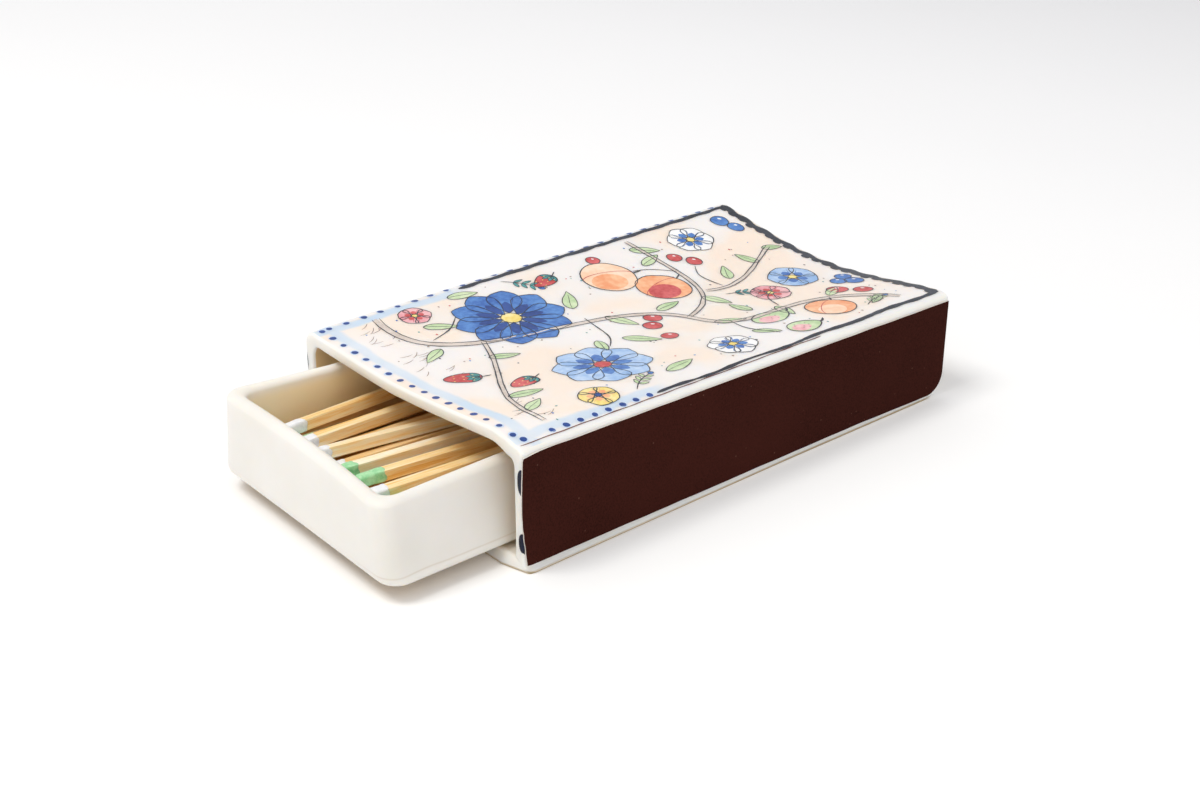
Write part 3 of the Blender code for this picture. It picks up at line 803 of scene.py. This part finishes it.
def make_strip(name, side, face_finish, edge_finish):
    """A strip of coated paper glued flat to the wall: dark face, pale cut edge."""
    outline = strip_outline(0.0 if side > 0 else LEFT_STRIP_SET_BACK)
    count = len(outline)
    result = delaunay_2d_cdt([Vector(p) for p in outline], [], [list(range(count))], 1, 1e-7)
    flat, triangles = result[0], result[2]
    total = len(flat)
    points = [(side * (HALF_WIDTH + out), p.x, p.y) for out in (STRIP_STANDS_OUT, GLUE_LINE) for p in flat]
    faces = [tuple(face) for face in triangles] + [tuple(i + total for i in face[::-1]) for face in triangles]
    own = [min(range(total), key=lambda k: (flat[k] - Vector(p)).length) for p in outline]
    faces += [(b, a, a + total, b + total) for a, b in zip(own, own[1:] + own[:1])]
    piece = outward(mesh_piece(name, points, faces, face_finish, edge_finish))
    for face in piece.data.polygons:
        face.material_index = 0 if abs(face.normal.x) > 0.5 else 1
    return piece


# Matches


def axis_of(stick, head):
    """Tip, direction and length of a match, from its packed stick and head."""
    ends = []
    for name in (head, stick):
        corners = sorted((v.co.copy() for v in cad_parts[name].data.vertices), key=lambda p: p.y)
        half = len(corners) // 2
        ends.append((sum(corners[:half], Vector()) / half, sum(corners[half:], Vector()) / half))
    along = (ends[1][1] - ends[1][0]).normalized()
    low = min((v.co - ends[0][0]).dot(along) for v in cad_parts[head].data.vertices)
    high = max((v.co - ends[0][0]).dot(along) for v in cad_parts[stick].data.vertices)
    return ends[0][0] + along * low, along, high - low


def squircle(turn, power):
    """Unit rounded square at an angle: power 2 is a circle, and more is squarer."""
    c, s = math.cos(turn), math.sin(turn)
    reach = (abs(c) ** power + abs(s) ** power) ** (-1 / power)
    return c * reach, s * reach


def make_stick(name, length, roll, draws, finish):
    """A split square splint: not quite straight, not quite square, with a rough far end."""
    stations = [*COVERED_STATIONS, *evenly(BARE_WOOD_FROM, length, BARE_WOOD_STEPS)]
    bend_x, bend_z = draws.uniform(-0.15, 0.15) * MM, draws.uniform(-0.10, 0.10) * MM
    twist = math.radians(draws.uniform(-4, 4))
    wide, tall = draws.uniform(0.97, 1.03), draws.uniform(0.96, 1.02)
    seed = draws.uniform(0, 90)
    section = []
    for side in range(4):
        first, last = draws.uniform(0.05, 0.13), draws.uniform(0.05, 0.13)
        for share in (-1 + first, -0.5, 0.0, 0.5, 1 - last):
            section.append(((1, share), (-share, 1), (-1, -share), (share, -1))[side])
    points = []
    for s, y in enumerate(stations):
        turn = roll + twist * y / length
        bent = math.sin(math.pi * y / length)
        size = SPLINT_HALF * (SQUEEZE if s < SQUEEZED_STATIONS else 1.0)
        for x, z in section:
            rough = 1 + ROUGHNESS * noise.noise(Vector((x * 1.6, z * 1.6, seed + y / ROUGH_LENGTH)))
            x, z = x * wide * rough * size, z * tall * rough * size
            ragged = noise.noise(Vector((x / RAGGED_SIZE, z / RAGGED_SIZE, seed)))
            short = abs(RAGGED_END * ragged) if y == length else 0
            x, z = turned(x, z, turn)
            points.append((x + bend_x * bent, y - short, z + bend_z * bent))
    piece = mesh_piece(name, points, ring_faces(len(stations), len(section), False), finish)
    piece.data.set_sharp_from_angle(angle=math.radians(28))
    return outward(piece)


def dome(share):
    """Height of a quarter circle, from 0 at its foot to 1 at its top."""
    return math.sqrt(max(0, 1 - (1 - min(1, share)) ** 2))


def make_head(name, length, roll, draws, finish):
    """The dipped coat: blunt round tip, a little fuller than the splint, ending in an uneven edge."""
    seed = draws.uniform(0, 90)
    swell = draws.uniform(0.05, 0.09) * MM
    points = []
    for s in range(HEAD_STEPS + 1):
        for i in range(HEAD_SIDES):
            turn = 2 * math.pi * (i + 0.5) / HEAD_SIDES
            around = Vector((math.cos(turn) * 1.1, math.sin(turn) * 1.1, seed))
            edge = length + HEAD_EDGE_WAVER * noise.noise(around)
            y = edge * s / HEAD_STEPS
            size = (SPLINT_HALF + swell) * max(HEAD_TIP_SHARE, dome(y / HEAD_TIP))
            size -= swell * 0.75 * (1 - dome((edge - y) / HEAD_EDGE_FADE))
            power = mix(HEAD_TIP_POWER, HEAD_POWER, min(1, y / HEAD_SQUARE_BY))
            power += HEAD_SQUARER_POWER * clamped((y - HEAD_SQUARER_FROM) / HEAD_SQUARER_OVER)
            x, z = squircle(turn, power)
            for high, close, long in HEAD_LUMPS:
                size += high * noise.noise(Vector((x * close, y / long, z * close + seed)))
            x, z = turned(x * size, z * size, roll)
            points.append((x, y, z))
    faces = ring_faces(HEAD_STEPS + 1, HEAD_SIDES, False)
    return outward(mesh_piece(name, points, faces, finish))


def make_matches(pale_splint, shaded_lower_splint, coats):
    """Dresses each packed stick and head; lower matches get a darker copy of the aspen finish, painted shade
    for the deep gaps.
    """
    draws = random.Random(41)
    for head in sorted(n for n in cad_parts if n.endswith("_head")):
        stick = head.replace("_head", "_stick")
        tip, along, length = axis_of(stick, head)
        up = Vector((0, 0, 1))
        place = Matrix((up.cross(along) * -1, along, up)).transposed().to_4x4()
        place.translation = tip
        colour = "green" if "green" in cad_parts[head].data.materials[0].name else "white"
        roll = math.radians(draws.uniform(-3, 12))
        # Matches low in the pile take the darker aspen copy: painted shade
        splint = pale_splint if tip.z > UPPER_MATCHES_ABOVE else shaded_lower_splint
        made_stick = make_stick(stick.replace("match", "splint"), length, roll, draws, splint)
        dipped = draws.uniform(*HEAD_LENGTHS)
        made_head = make_head(head.replace("match", "dipped"), dipped, roll, draws, coats[colour])
        for piece, cad_node, slot in (
            (made_stick, stick, "aspen"), (made_head, head, f"{colour}_composition"),
        ):
            piece.matrix_world = place
            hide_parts(cad_node)
            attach(piece, "tray")


# Printed roof


def on_roof(x, y, lift):
    """The sleeve's outer face above a drawing's point, lifted by so many millimetres."""
    share = clamped((y * MM + HALF_LENGTH) / SLEEVE_LENGTH)
    flat = HALF_WIDTH - LONG_EDGE_ROUND_ACROSS
    across = min(HALF_WIDTH, max(-HALF_WIDTH, x * MM))
    past = max(0, abs(across) - flat)
    z = roof(math.copysign(min(abs(across), flat), across), share)
    drop = edge_round_down(x, share) * (1 - math.cos(math.asin(past / LONG_EDGE_ROUND_ACROSS)))
    return Vector((across, y * MM, z - drop + lift * MM))


def to_sheet(colour, points, faces):
    cloud, sides = SHEETS.setdefault(colour, ([], []))
    first = len(cloud)
    cloud.extend(points)
    sides.extend(tuple(first + i for i in face) for face in faces)


def lay(colour, points, faces, level):
    to_sheet(colour, [on_roof(x, y, LIFT[level]) for x, y in points], faces)


def inside(point, outline):
    hit = False
    for (ax, ay), (bx, by) in zip(outline, outline[1:] + outline[:1]):
        if (ay > point[1]) != (by > point[1]):
            if point[0] < ax + (bx - ax) * (point[1] - ay) / (by - ay):
                hit = not hit
    return hit


def fill(colour, outline, level="fill", spacing=1.3):
    """A patch of colour inside an outline, with inner points so that it bends with the roof."""
    xs, ys = [p[0] for p in outline], [p[1] for p in outline]
    inner = []
    for row in range(1, int((max(ys) - min(ys)) / spacing) + 1):
        for step in range(1, int((max(xs) - min(xs)) / spacing) + 1):
            point = (min(xs) + step * spacing, min(ys) + row * spacing)
            clear = min(math.hypot(point[0] - x, point[1] - y) for x, y in outline)
            if clear > spacing * 0.45 and inside(point, outline):
                inner.append(point)
    count = len(outline)
    edges = [(i, (i + 1) % count) for i in range(count)]
    result = delaunay_2d_cdt([Vector(p) for p in outline + inner], edges, [], 1, 1e-5)
    lay(colour, [tuple(p) for p in result[0]], result[2], level)


def leftward(path, i, closed=False):
    """The unit step to the left of a path, at one of its points."""
    count = len(path)
    ahead = path[(i + 1) % count] if closed else path[min(i + 1, count - 1)]
    behind = path[i - 1] if closed else path[max(i - 1, 0)]
    dx, dy = ahead[0] - behind[0], ahead[1] - behind[1]
    size = math.hypot(dx, dy) or 1
    return -dy / size, dx / size


def line(colour, path, width, level="ink", closed=False, across=1):
    """A drawn line: a ribbon that thickens and thins a little, as a pen does."""
    count, columns = len(path), across + 1
    points = []
    for i, (x, y) in enumerate(path):
        left_x, left_y = leftward(path, i, closed)
        press = 0.85 + 0.5 * noise.noise(Vector((x / 3, y / 3, 7.0)))
        if not closed:
            press *= min(1, 0.45 + 0.5 * min(i, count - 1 - i))
        half = width / 2 * press
        for reach in evenly(-half, half, across):
            points.append((x + left_x * reach, y + left_y * reach))
    faces = []
    for i in range(count if closed else count - 1):
        here, ahead = i * columns, (i + 1) % count * columns
        faces += [(here + k + 1, ahead + k + 1, ahead + k, here + k) for k in range(across)]
    lay(colour, points, faces, level)


def wobble(path, amount, seed):
    """The same path, moved a little and smoothly, as a hand moves it."""
    moved = []
    for x, y in path:
        dx, dy = [noise.noise(Vector((x / 3.0, y / 3.0, at))) for at in (seed, seed + 31.7)]
        moved.append((x + amount * dx, y + amount * dy))
    return moved


def placed(points, x, y, turn):
    """Points turned by so many degrees, then moved to (x, y)."""
    spun = [turned(px, py, math.radians(turn)) for px, py in points]
    return [(x + px, y + py) for px, py in spun]


def oval(x, y, wide, tall, turn, count):
    angles = evenly(0, 2 * math.pi, count)[:-1]
    return placed([(wide * math.cos(a), tall * math.sin(a)) for a in angles], x, y, turn)


def petal(x, y, turn, start, length, width, fullness, count=12):
    """Outline of a petal or leaf that points away from (x, y) along its own X."""
    upper = []
    for share in [(1 - math.cos(turn)) / 2 for turn in evenly(0, math.pi, count)]:
        bulge = abs(math.sin(math.pi * share**fullness)) ** 0.8
        upper.append((start + length * share, width / 2 * bulge))
    lower = [(px, -py) for px, py in upper[1:-1]]
    return placed(upper[:1] + lower + upper[:0:-1], x, y, turn)


def bezier(a, b, c, d, count):
    return [tuple(p) for p in interpolate_bezier(Vector(a), Vector(b), Vector(c), Vector(d), count)]


def outlined(colour, outline, width, seed, level="fill"):
    """A patch of colour with a pen line round it that doesn't quite follow its edge."""
    shape = wobble(outline, 0.22, seed)
    fill(colour, shape, level)
    line("ink", wobble(shape, 0.12, seed + 5), width, closed=True)


def leaf(x, y, turn, length, width):
    colour = "teal" if int(abs(x * 3)) % 3 else "pale_green"
    outlined(colour, petal(x, y, turn, 0, length, width, 0.75), 0.22, x + y)
    vein = placed([(length * s / 6, 0.12 * math.sin(s)) for s in range(6)], x, y, turn)
    line("ink", vein, 0.16)


def blossom(x, y, radius, petals, colour, dark, eye, turn):
    """A flower seen from above: outlined petals, each with a darker throat, round an eye."""
    step = 360 / petals
    wide = 2.0 * radius * math.sin(math.radians(step / 2)) * 0.98
    for i in range(petals):
        angle = turn + step * i
        outlined(colour, petal(x, y, angle, radius * 0.16, radius * 0.84, wide, 1.35), 0.24, x + i)
        fill(dark, petal(x, y, angle, radius * 0.18, radius * 0.42, wide * 0.34, 1.1, 5), "shade")
        for spread in (-0.35, 0.35):
            vein = [(radius * (0.45 + 0.1 * s), wide * spread * (0.4 + 0.12 * s)) for s in range(4)]
            line(dark, placed(vein, x, y, angle), 0.16, "detail")
    fill(eye, oval(x, y, radius * 0.17, radius * 0.17, 0, 12), "detail")
    line("ink", oval(x, y, radius * 0.18, radius * 0.18, 0, 14), 0.2, closed=True)


def berry(x, y, radius, colour):
    outlined(colour, oval(x, y, radius, radius * 0.95, 20, 18), 0.24, x * 2 + y)
    shine = oval(x - radius * 0.35, y + radius * 0.3, radius * 0.22, radius * 0.14, 40, 8)
    fill("porcelain_white", shine, "detail")


def round_fruit(x, y, radius, colour, blush, turn):
    """A peach or plum: blushed on one cheek, with a seam and a short stalk."""
    outlined(colour, oval(x, y, radius, radius * 0.93, turn, 30), 0.3, x - y)
    fill(blush, oval(x + radius * 0.28, y - radius * 0.18, radius * 0.55, radius * 0.62, turn, 20), "shade")
    seam = [(radius * 0.95 * math.cos(a), radius * 0.35 * math.sin(a)) for a in evenly(0, math.pi, 9)]
    line("red", placed(seam, x, y, turn + 90), 0.22, "detail")
    stalk = placed([(radius * (0.9 + 0.09 * s), 0.15 * s) for s in range(5)], x, y, turn + 90)
    line("ink", stalk, 0.5)


def pear(x, y, size, turn):
    """A pear: yellow-green with a rosy cheek, freckles and a bent stalk."""
    shape = []
    for angle in evenly(0, 2 * math.pi, 34)[:-1]:
        up = math.cos(angle)
        waist = 1 - 0.36 * max(0.0, up) ** 1.3
        shape.append((size * (0.92 * up + 0.12), size * 0.66 * waist * math.sin(angle)))
    outlined("pale_green", placed(shape, x, y, turn), 0.3, x)
    cheek = [(px * 0.55 - size * 0.2, py * 0.6 - size * 0.14) for px, py in shape[::2]]
    fill("rose", placed(cheek, x, y, turn), "shade")
    stalk = [(size * (1.02 + 0.1 * i), size * 0.02 * i * i) for i in range(5)]
    line("ink", placed(stalk, x, y, turn), 0.55)
    freckles = [(size * 0.35 * math.cos(i * 2.4), size * 0.3 * math.sin(i * 1.7)) for i in range(7)]
    for spot in placed(freckles, x, y, turn):
        fill("brown", oval(*spot, 0.2, 0.17, 0, 7), "detail")


def strawberry(x, y, size, turn):
    """A strawberry with a leafy cap and pale seeds."""
    shape = []
    for angle in evenly(0, 2 * math.pi, 26)[:-1]:
        reach = 1 - 0.25 * math.cos(angle)
        tall = size * 0.8 * math.sin(angle) * (1.1 - 0.2 * reach)
        shape.append((size * 1.1 * math.cos(angle) * reach, tall))
    outlined("red", placed(shape, x, y, turn), 0.28, y)
    for row in range(3):
        for column in range(3 - row % 2):
            seed = (size * (-0.75 + 0.55 * row), size * (-0.42 + 0.42 * column + 0.2 * (row % 2)))
            fill("yellow", oval(*placed([seed], x, y, turn)[0], 0.22, 0.13, turn, 7), "detail")
    cap = placed([(size * 0.72, 0.0)], x, y, turn)[0]
    for spread in (-55, -20, 20, 55):
        sepal = petal(*cap, turn + 180 + spread, 0, size * 0.85, size * 0.42, 0.8, 6)
        outlined("teal", sepal, 0.18, x, "shade")
    stalk = placed([(size * (0.75 + 0.16 * i), 0.15 * i) for i in range(5)], x, y, turn)
    line("ink", stalk, 0.35)


def spray(x, y, turn, length, colour):
    """A thin stalk with pairs of small leaves and a bud."""
    stalk = placed([(length * i / 10, 0.6 * math.sin(i / 3)) for i in range(11)], x, y, turn)
    line("ink", stalk, 0.24)
    for i in (3, 5, 7):
        for side in (-48, 48):
            small_leaf = petal(*stalk[i], turn + side, 0.1, length * 0.26, length * 0.1, 0.8, 6)
            outlined(colour, small_leaf, 0.16, x + i)
    outlined("cobalt", oval(*stalk[-1], length * 0.09, length * 0.07, turn, 10), 0.18, y)


def twig(path, width):
    """A branch: a pale brown wash between two pencilled edges."""
    line("twig", path, width, "fill")
    for side in (-0.5, 0.5):
        edge = []
        for i, (x, y) in enumerate(path):
            left_x, left_y = leftward(path, i)
            edge.append((x + left_x * width * side, y + left_y * width * side))
        line("ink", wobble(edge, 0.2, side), 0.27)


def draw_border(draws):
    """The border: navy dots along the near half, and a brushed black line round the far half."""
    spots = [(mix(-32.1, 29.9, i / 16), -55.75 + 0.02 * (i % 3) - 0.015 * i) for i in range(17)]
    spots.append((31.9, -55.2))
    for i in range(26):
        spots.append((mix(-32.3, -33.5, min(1, i / 9)) + 0.12 * math.sin(i * 1.7), -54.0 + 4.30 * i))
    spots += [(32.1 + 0.02 * i, -52.2 + 3.36 * i) for i in range(1, 9)]
    for x, y in spots:
        wide, tall = draws.uniform(0.60, 0.74), draws.uniform(0.58, 0.72)
        shape = wobble(oval(x, y, wide, tall, draws.uniform(0, 90), 14), 0.16, x + y)
        fill("dot_halo", wobble(oval(x, y, wide * 1.35, tall * 1.35, 0, 14), 0.2, x), "wash", 0.35)
        fill("navy", shape, "fill", 0.35)
    left = [(-32.2 + 0.12 * math.sin(i * 0.9), mix(-21.5, 56.6, i / 70)) for i in range(71)]
    far = [(mix(-33.0, 33.0, i / 70), 56.35 + 0.22 * math.sin(i * 0.9)) for i in range(71)]
    right = [(32.5 + 0.22 * math.sin(i * 0.31), mix(56.6, -23.5, i / 80)) for i in range(81)]
    for path, width, across in ((left, 1.45, 5), (far, 2.1, 3), (right[:42], 1.35, 4), (right[40:], 0.95, 4)):
        line("black", path, width, across=across)
    thread = [(33.35 + 0.05 * math.sin(i), mix(-57.0, 20.0, i / 60)) for i in range(61)]
    line("maroon", thread, 0.3)
    for i in range(22):
        daub = oval(mix(-31.5, 31.5, i / 21), 55.3 + 0.2 * (i % 3), 1.15, 0.62 + 0.1 * (i % 2), 0, 12)
        fill("black", daub, "ink")


def draw_picture(draws):
    """A garden in fruit: flowers, peaches, pears and berries on one long curling branch."""
    main_branch = bezier((-30.5, -44), (4, -52), (-16, 6), (8, 10), 30)
    twig(main_branch + bezier((8, 10), (26, 14), (4, 36), (29, 49), 24)[1:], 1.5)
    twig(bezier((6, 9.5), (0, 27), (-14, 25), (-30.5, 24), 24), 1.0)
    twig(bezier((-3, 23), (1, 32), (-8, 42), (-13, 52), 20), 0.9)
    twig(bezier((-10, -32), (6, -38), (14, -50), (29, -48), 20), 0.9)
    for start, bend, end in (
        ((-7, -8), (4, -10), (8, -14)), ((-14, 24.5), (-18, 20), (-19, 16)), ((13, 14), (20, 12), (27, 15)),
        ((14, 28), (8, 30), (6, 34)), ((-3, 28), (-10, 27), (-14, 30)), ((-16, -40), (-18, -34), (-22, -30)),
    ):
        line("ink", bezier(start, bend, bend, end, 10), 0.34)
    for motif, *places in (
        (
            blossom,
            (-15.5, -20.5, 12.6, 10, "cobalt", "navy", "yellow", 8),
            (15, -22, 10.2, 8, "sky", "cobalt", "red", 20),
            (-24, 38, 5.6, 6, "porcelain_white", "cobalt", "yellow", 12),
            (2.5, 44.0, 5.8, 5, "sky", "cobalt", "yellow", 30),
            (25, 3.5, 5.2, 6, "porcelain_white", "cobalt", "yellow", 0),
            (6.5, 33, 4.6, 5, "rose", "red", "yellow", 18),
            (27, -33.5, 4.0, 5, "yellow", "orange", "navy", 40),
            (-27.2, -36.5, 3.6, 5, "rose", "red", "yellow", 10),
        ),
        (
            round_fruit,
            (-19.5, 9.5, 6.6, "peach", "orange", -12),
            (-9.5, 16.5, 6.2, "orange", "red", 18),
            (23, 34, 5.4, "orange", "peach", 40),
        ),
        (pear, (18.5, 20.5, 5.2, 96), (27.4, 21.0, 4.4, 82)),
        (strawberry, (2.5, -45.5, 3.4, 60), (11.5, -38, 3.0, 100), (-25.5, -3, 3.0, 110)),
        (
            berry,
            (1.5, 3.4, 2.0, "red"), (4.8, 0.4, 2.1, "red"), (11.8, -1.2, 1.9, "red"),
            (-15.8, 31.4, 2.0, "red"), (-19.3, 28.6, 1.8, "red"), (15.4, 44.4, 2.3, "red"),
            (19.6, 47.9, 2.1, "red"), (-27.3, 11.5, 1.6, "red"), (13.4, 52.0, 2.1, "cobalt"),
            (9.6, 52.4, 1.9, "cobalt"), (11.2, 49.2, 1.9, "cobalt"), (-27.5, 50.5, 2.2, "cobalt"),
            (-23.6, 52, 1.9, "cobalt"),
        ),
        (
            leaf,
            (-12, -7, 150, 8, 3.2), (-5, -4, 20, 8, 3.0), (-1, 7, 100, 7, 2.8), (12, 11, 60, 7, 2.8),
            (-22, -38, 60, 7, 2.8), (-12, -41, -60, 7, 2.6), (-3, -36, 70, 6.5, 2.6), (16, -46, 80, 7.5, 3.0),
            (24, -48, 120, 6.5, 2.6), (6, -9, 40, 8, 3.0), (4, -14, -20, 6, 2.4), (27, -16, 100, 8, 3.0),
            (-27, 22, 60, 7, 2.8), (-20, 20, 110, 6.5, 2.6), (-1, 20, 20, 7, 2.8), (-5, 32, 150, 6.5, 2.6),
            (-8, 44, 200, 6, 2.6), (14, 27, -10, 7, 2.8), (12, 22, 190, 6, 2.4), (17, 40, 120, 6.5, 2.6),
            (25, 47, -60, 6, 2.4), (-13, 50, 70, 5, 2.2), (-30, -26, 80, 7, 2.8), (22, 12, 40, 6, 2.4),
        ),
        (
            spray,
            (-30, -12, 40, 9, "teal"), (29.5, -26, 120, 8, "pale_green"),
            (1, 25, 60, 8, "teal"), (28, 40, 105, 8, "pale_green"),
        ),
    ):
        for place in places:
            motif(*place)
    for _ in range(150):
        x, y = draws.uniform(-30.5, 30.5), draws.uniform(-52.5, 53)
        colour = draws.choice(("red", "cobalt", "brown", "brown", "teal", "ink"))
        fill(colour, oval(x, y, draws.uniform(0.16, 0.34), draws.uniform(0.14, 0.28), 0, 7), "wash")
    for _ in range(46):
        x, y = draws.uniform(-29, 29), draws.uniform(-53, -46)
        lean = draws.uniform(60, 120)
        blade = placed([(0.9 * i, 0.12 * i * i) for i in range(4)], x, y, lean)
        line("brown", blade, 0.2, "wash")


def lip_spot(sleeve_faces, z, tall, side, wide):
    """A navy dot laid over the round corner of the mouth's side lip, up to the strip's edge, printed in a
    darker copy of navy that is painted shade.
    """
    points, faces = [], []
    steps = LIP_SPOT_STEPS
    for r in range(steps + 1):
        up = -1 + 2 * r / steps
        reach = wide * max(0.0, 1 - abs(up) ** 2.8) ** (1 / 2.4)
        for c in range(steps + 1):
            walk = reach * c / steps * MM
            turn = min(walk / LIP_ROUND, math.pi / 2)
            x = HALF_WIDTH - LIP_ROUND * (1 - math.cos(turn)) - max(0, walk - LIP_ROUND * math.pi / 2)
            y = -HALF_LENGTH + LIP_ROUND * (1 - math.sin(turn))
            aim = Vector((side * (x + LIP_AIM_OFF), y - LIP_AIM_OFF, (z + tall / 2 * up) * MM))
            place, normal = sleeve_faces.find_nearest(aim)[:2]
            points.append(place + normal * LIP_SPOT_LIFT * MM)
    for r in range(steps):
        for c in range(steps):
            a = r * (steps + 1) + c
            face = (a, a + 1, a + steps + 2, a + steps + 1)
            faces.append(face if side < 0 else face[::-1])
    to_sheet("lip_navy", points, faces)


# Studio


def looked_at(add):
    """1 for rays that show the background itself or its reflection, and 0 for light on the object."""
    rays = add("ShaderNodeLightPath").outputs
    seen = add("ShaderNodeMath", (rays["Is Camera Ray"], rays["Is Glossy Ray"]), operation="MAXIMUM")
    return add("ShaderNodeMath", (seen, rays["Is Transmission Ray"]), operation="MAXIMUM")


def white_paper(name, plain, cloudy, far):
    """Matt studio paper: nearly even, with painted shade greying it up the far right, and paler where it
    recedes.
    """
    finish, add, shader, place = new_finish(
        name, Roughness=0.9, Specular_IOR_Level=0.1, Emission_Color=(1, 1, 1, 1)
    )
    axes = add("ShaderNodeSeparateXYZ", (place,)).outputs
    # Painted shade: the paper greys toward the far right, and its camera glow fades out there
    slant = add("ShaderNodeMath", (axes["X"], 0.55, axes["Y"]), operation="MULTIPLY_ADD")
    fall = add("ShaderNodeMapRange", (slant, *PAPER_PAINTED_SHADE_OVER))
    tone = add("ShaderNodeTexNoise", {"Vector": place, "Scale": per(140), "Detail": 2.0})
    paper = add("ShaderNodeValToRGB", (tone,), stops=((0.3, plain), (0.7, cloudy)))
    shaded = add("ShaderNodeMix", {"Factor": fall, "A": paper, "B": linear(far)}, data_type="RGBA")
    feed(shader, "Base Color", shaded)
    level = add("ShaderNodeMapRange", (fall, 0.45, 0.85, 0.06, 0.0))
    away = add("ShaderNodeVectorMath", (place,), operation="LENGTH")
    beyond = add("ShaderNodeMapRange", (away, *PAPER_GLOWS_OVER, 0.0, 0.42))
    paler = add("ShaderNodeMath", (level, beyond), operation="ADD")
    feed(shader, "Emission Strength", add("ShaderNodeMath", (looked_at(add), paler), operation="MULTIPLY"))
    return finish


def make_sweep(finish):
    """A floor of paper that bends up behind the object."""
    profile = [(-SWEEP_REACH, 0.0), (0.0, 0.0), (SWEEP_BACK, 0.0)]
    for turn in evenly(0, math.pi / 2, SWEEP_BEND_STEPS)[1:]:
        profile.append((SWEEP_BACK + SWEEP_BEND * math.sin(turn), SWEEP_BEND * (1 - math.cos(turn))))
    profile.append((SWEEP_BACK + SWEEP_BEND, SWEEP_RISE))
    points = [(across, away, z) for away, z in profile for across in (-SWEEP_REACH, SWEEP_REACH)]
    faces = [(2 * i, 2 * i + 1, 2 * i + 3, 2 * i + 2) for i in range(len(profile) - 1)]
    sweep = mesh_piece("paper_sweep", points, faces, finish)
    sweep.rotation_euler = (0, 0, math.radians(SWEEP_TURN))


def held(name, thing, place, turn):
    """An object that holds a lamp or a camera at its place."""
    holder = bpy.data.objects.new(name, thing)
    holder.location = place
    holder.rotation_euler = turn
    bpy.context.scene.collection.objects.link(holder)
    return holder


def make_studio():
    """A white paper sweep and room, a soft key lamp above the mouth, and a weak fill on the right."""
    scene = bpy.context.scene
    # The last grey is the painted shade of the paper's far right
    make_sweep(white_paper("white paper sweep", "#f8f8f8", "#fafafa", "#ececee"))
    world = bpy.data.worlds.new("white room")
    world.use_nodes = True
    background = world.node_tree.nodes["Background"]
    feed(background, "Color", linear("#fdfdff"))
    add = partial(node, world.node_tree)
    room = add("ShaderNodeMapRange", {"Value": looked_at(add), "To Min": ROOM_LIGHT})
    feed(background, "Strength", room)
    scene.world = world

    for name, place, size, energy, tint in LAMPS:
        lamp = bpy.data.lights.new(name, "AREA")
        lamp.size = size
        lamp.energy = energy
        lamp.color = linear(tint)[:3]
        aim = Vector(LAMPS_AIM_AT) - Vector(place)
        held(name, lamp, place, aim.to_track_quat("-Z", "Y").to_euler())

    camera = bpy.data.cameras.new("camera")
    camera.sensor_width = 36.0
    camera.sensor_fit = "HORIZONTAL"
    camera.lens = CAMERA_LENS
    camera.clip_start = 0.01
    scene.camera = held("camera", camera, CAMERA_AT, [math.radians(a) for a in CAMERA_TURN])
    scene.view_settings.view_transform = "Standard"


def main():
    body = glazed_porcelain("glazed porcelain", "#f3f0ea", "#efebe3", foot=("#bda27a", 0.0))
    printed = glazed_porcelain(
        "printed porcelain", "#f0eeec", "#ebe8e5", washes=("#f7e3d2", "#f3ebe8", "#bfd8ee")
    )
    # The bore: tan on its walls and roof, cream on its floor, as painted warm shade
    bore = glazed_porcelain(
        "bare porcelain bore", "#f0ebe2", "#ece6da", inside=("#e6c996", 0.0030, 0.0062), milky=0.35
    )
    # The tray's brown band at its bottom edge is painted contact shadow
    drawer = glazed_porcelain(
        "satin porcelain", "#ece9e4", "#e8e5de", foot=("#c9ac7c", TRAY_BOTTOM), seam="#cdbfab"
    )
    # The tray's inner faces grow warmer toward the floor: painted warm bounce light from the matches
    drawer_inside = glazed_porcelain(
        "creamy glaze inside", "#efebe3", "#ebe6dc", inside=("#fcedd0", 0.0196, 0.0168)
    )
    striking = striking_paper("striking paper", "#2f130e", "#3b1a14", "#401c16", "#6b4a3f")
    paper_edge = cut_paper("cut paper edge", "#cfc6bd", "#e2dcd5")
    pale_splint = aspen_splint("waxed aspen", "#eeb45c", "#fdd692", "#ffe9be", "#fff5e0")
    # A darker copy of the aspen finish: painted shade for the matches low in the pile
    shaded_lower_splint = aspen_splint("waxed aspen painted_shade_copy", "#b8742a", "#d69d50", "#e9bd78", "#f6d8a6")
    coats = {
        "white": match_composition("white match composition", "#e9ebf1", "#f7f8fb"),
        "green": match_composition("green match composition", "#8fd49a", "#b6e7b5"),
    }

    sleeve = make_sleeve(body, printed, bore)
    tray = make_tray(drawer, drawer_inside)
    for piece, cad_node, slot, moves in (
        (sleeve, "sleeve", "porcelain", "sleeve"), (tray, "tray", "tray_porcelain", "tray"),
    ):
        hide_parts(cad_node)
        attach(piece, moves)
    for name, side in (("right", 1), ("left", -1)):
        strip = make_strip(f"striking_strip_{name}", side, striking, paper_edge)
        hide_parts(f"striker_{name}")
        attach(strip, "sleeve")
    make_matches(pale_splint, shaded_lower_splint, coats)

    draw_border(random.Random(5))
    draw_picture(random.Random(8))
    sleeve_faces = BVHTree.FromPolygons(
        [v.co for v in sleeve.data.vertices], [tuple(f.vertices) for f in sleeve.data.polygons]
    )
    for z, tall, side, wide in LIP_SPOTS:
        lip_spot(sleeve_faces, z, tall, side, wide)
    for colour, (points, faces) in SHEETS.items():
        finish = ceramic_colour(f"{colour} print", *PRINT_COLOURS[colour])
        sheet = mesh_piece(f"print_{colour}", points, faces, finish)
        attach(sheet, "sleeve")

    make_studio()


main()
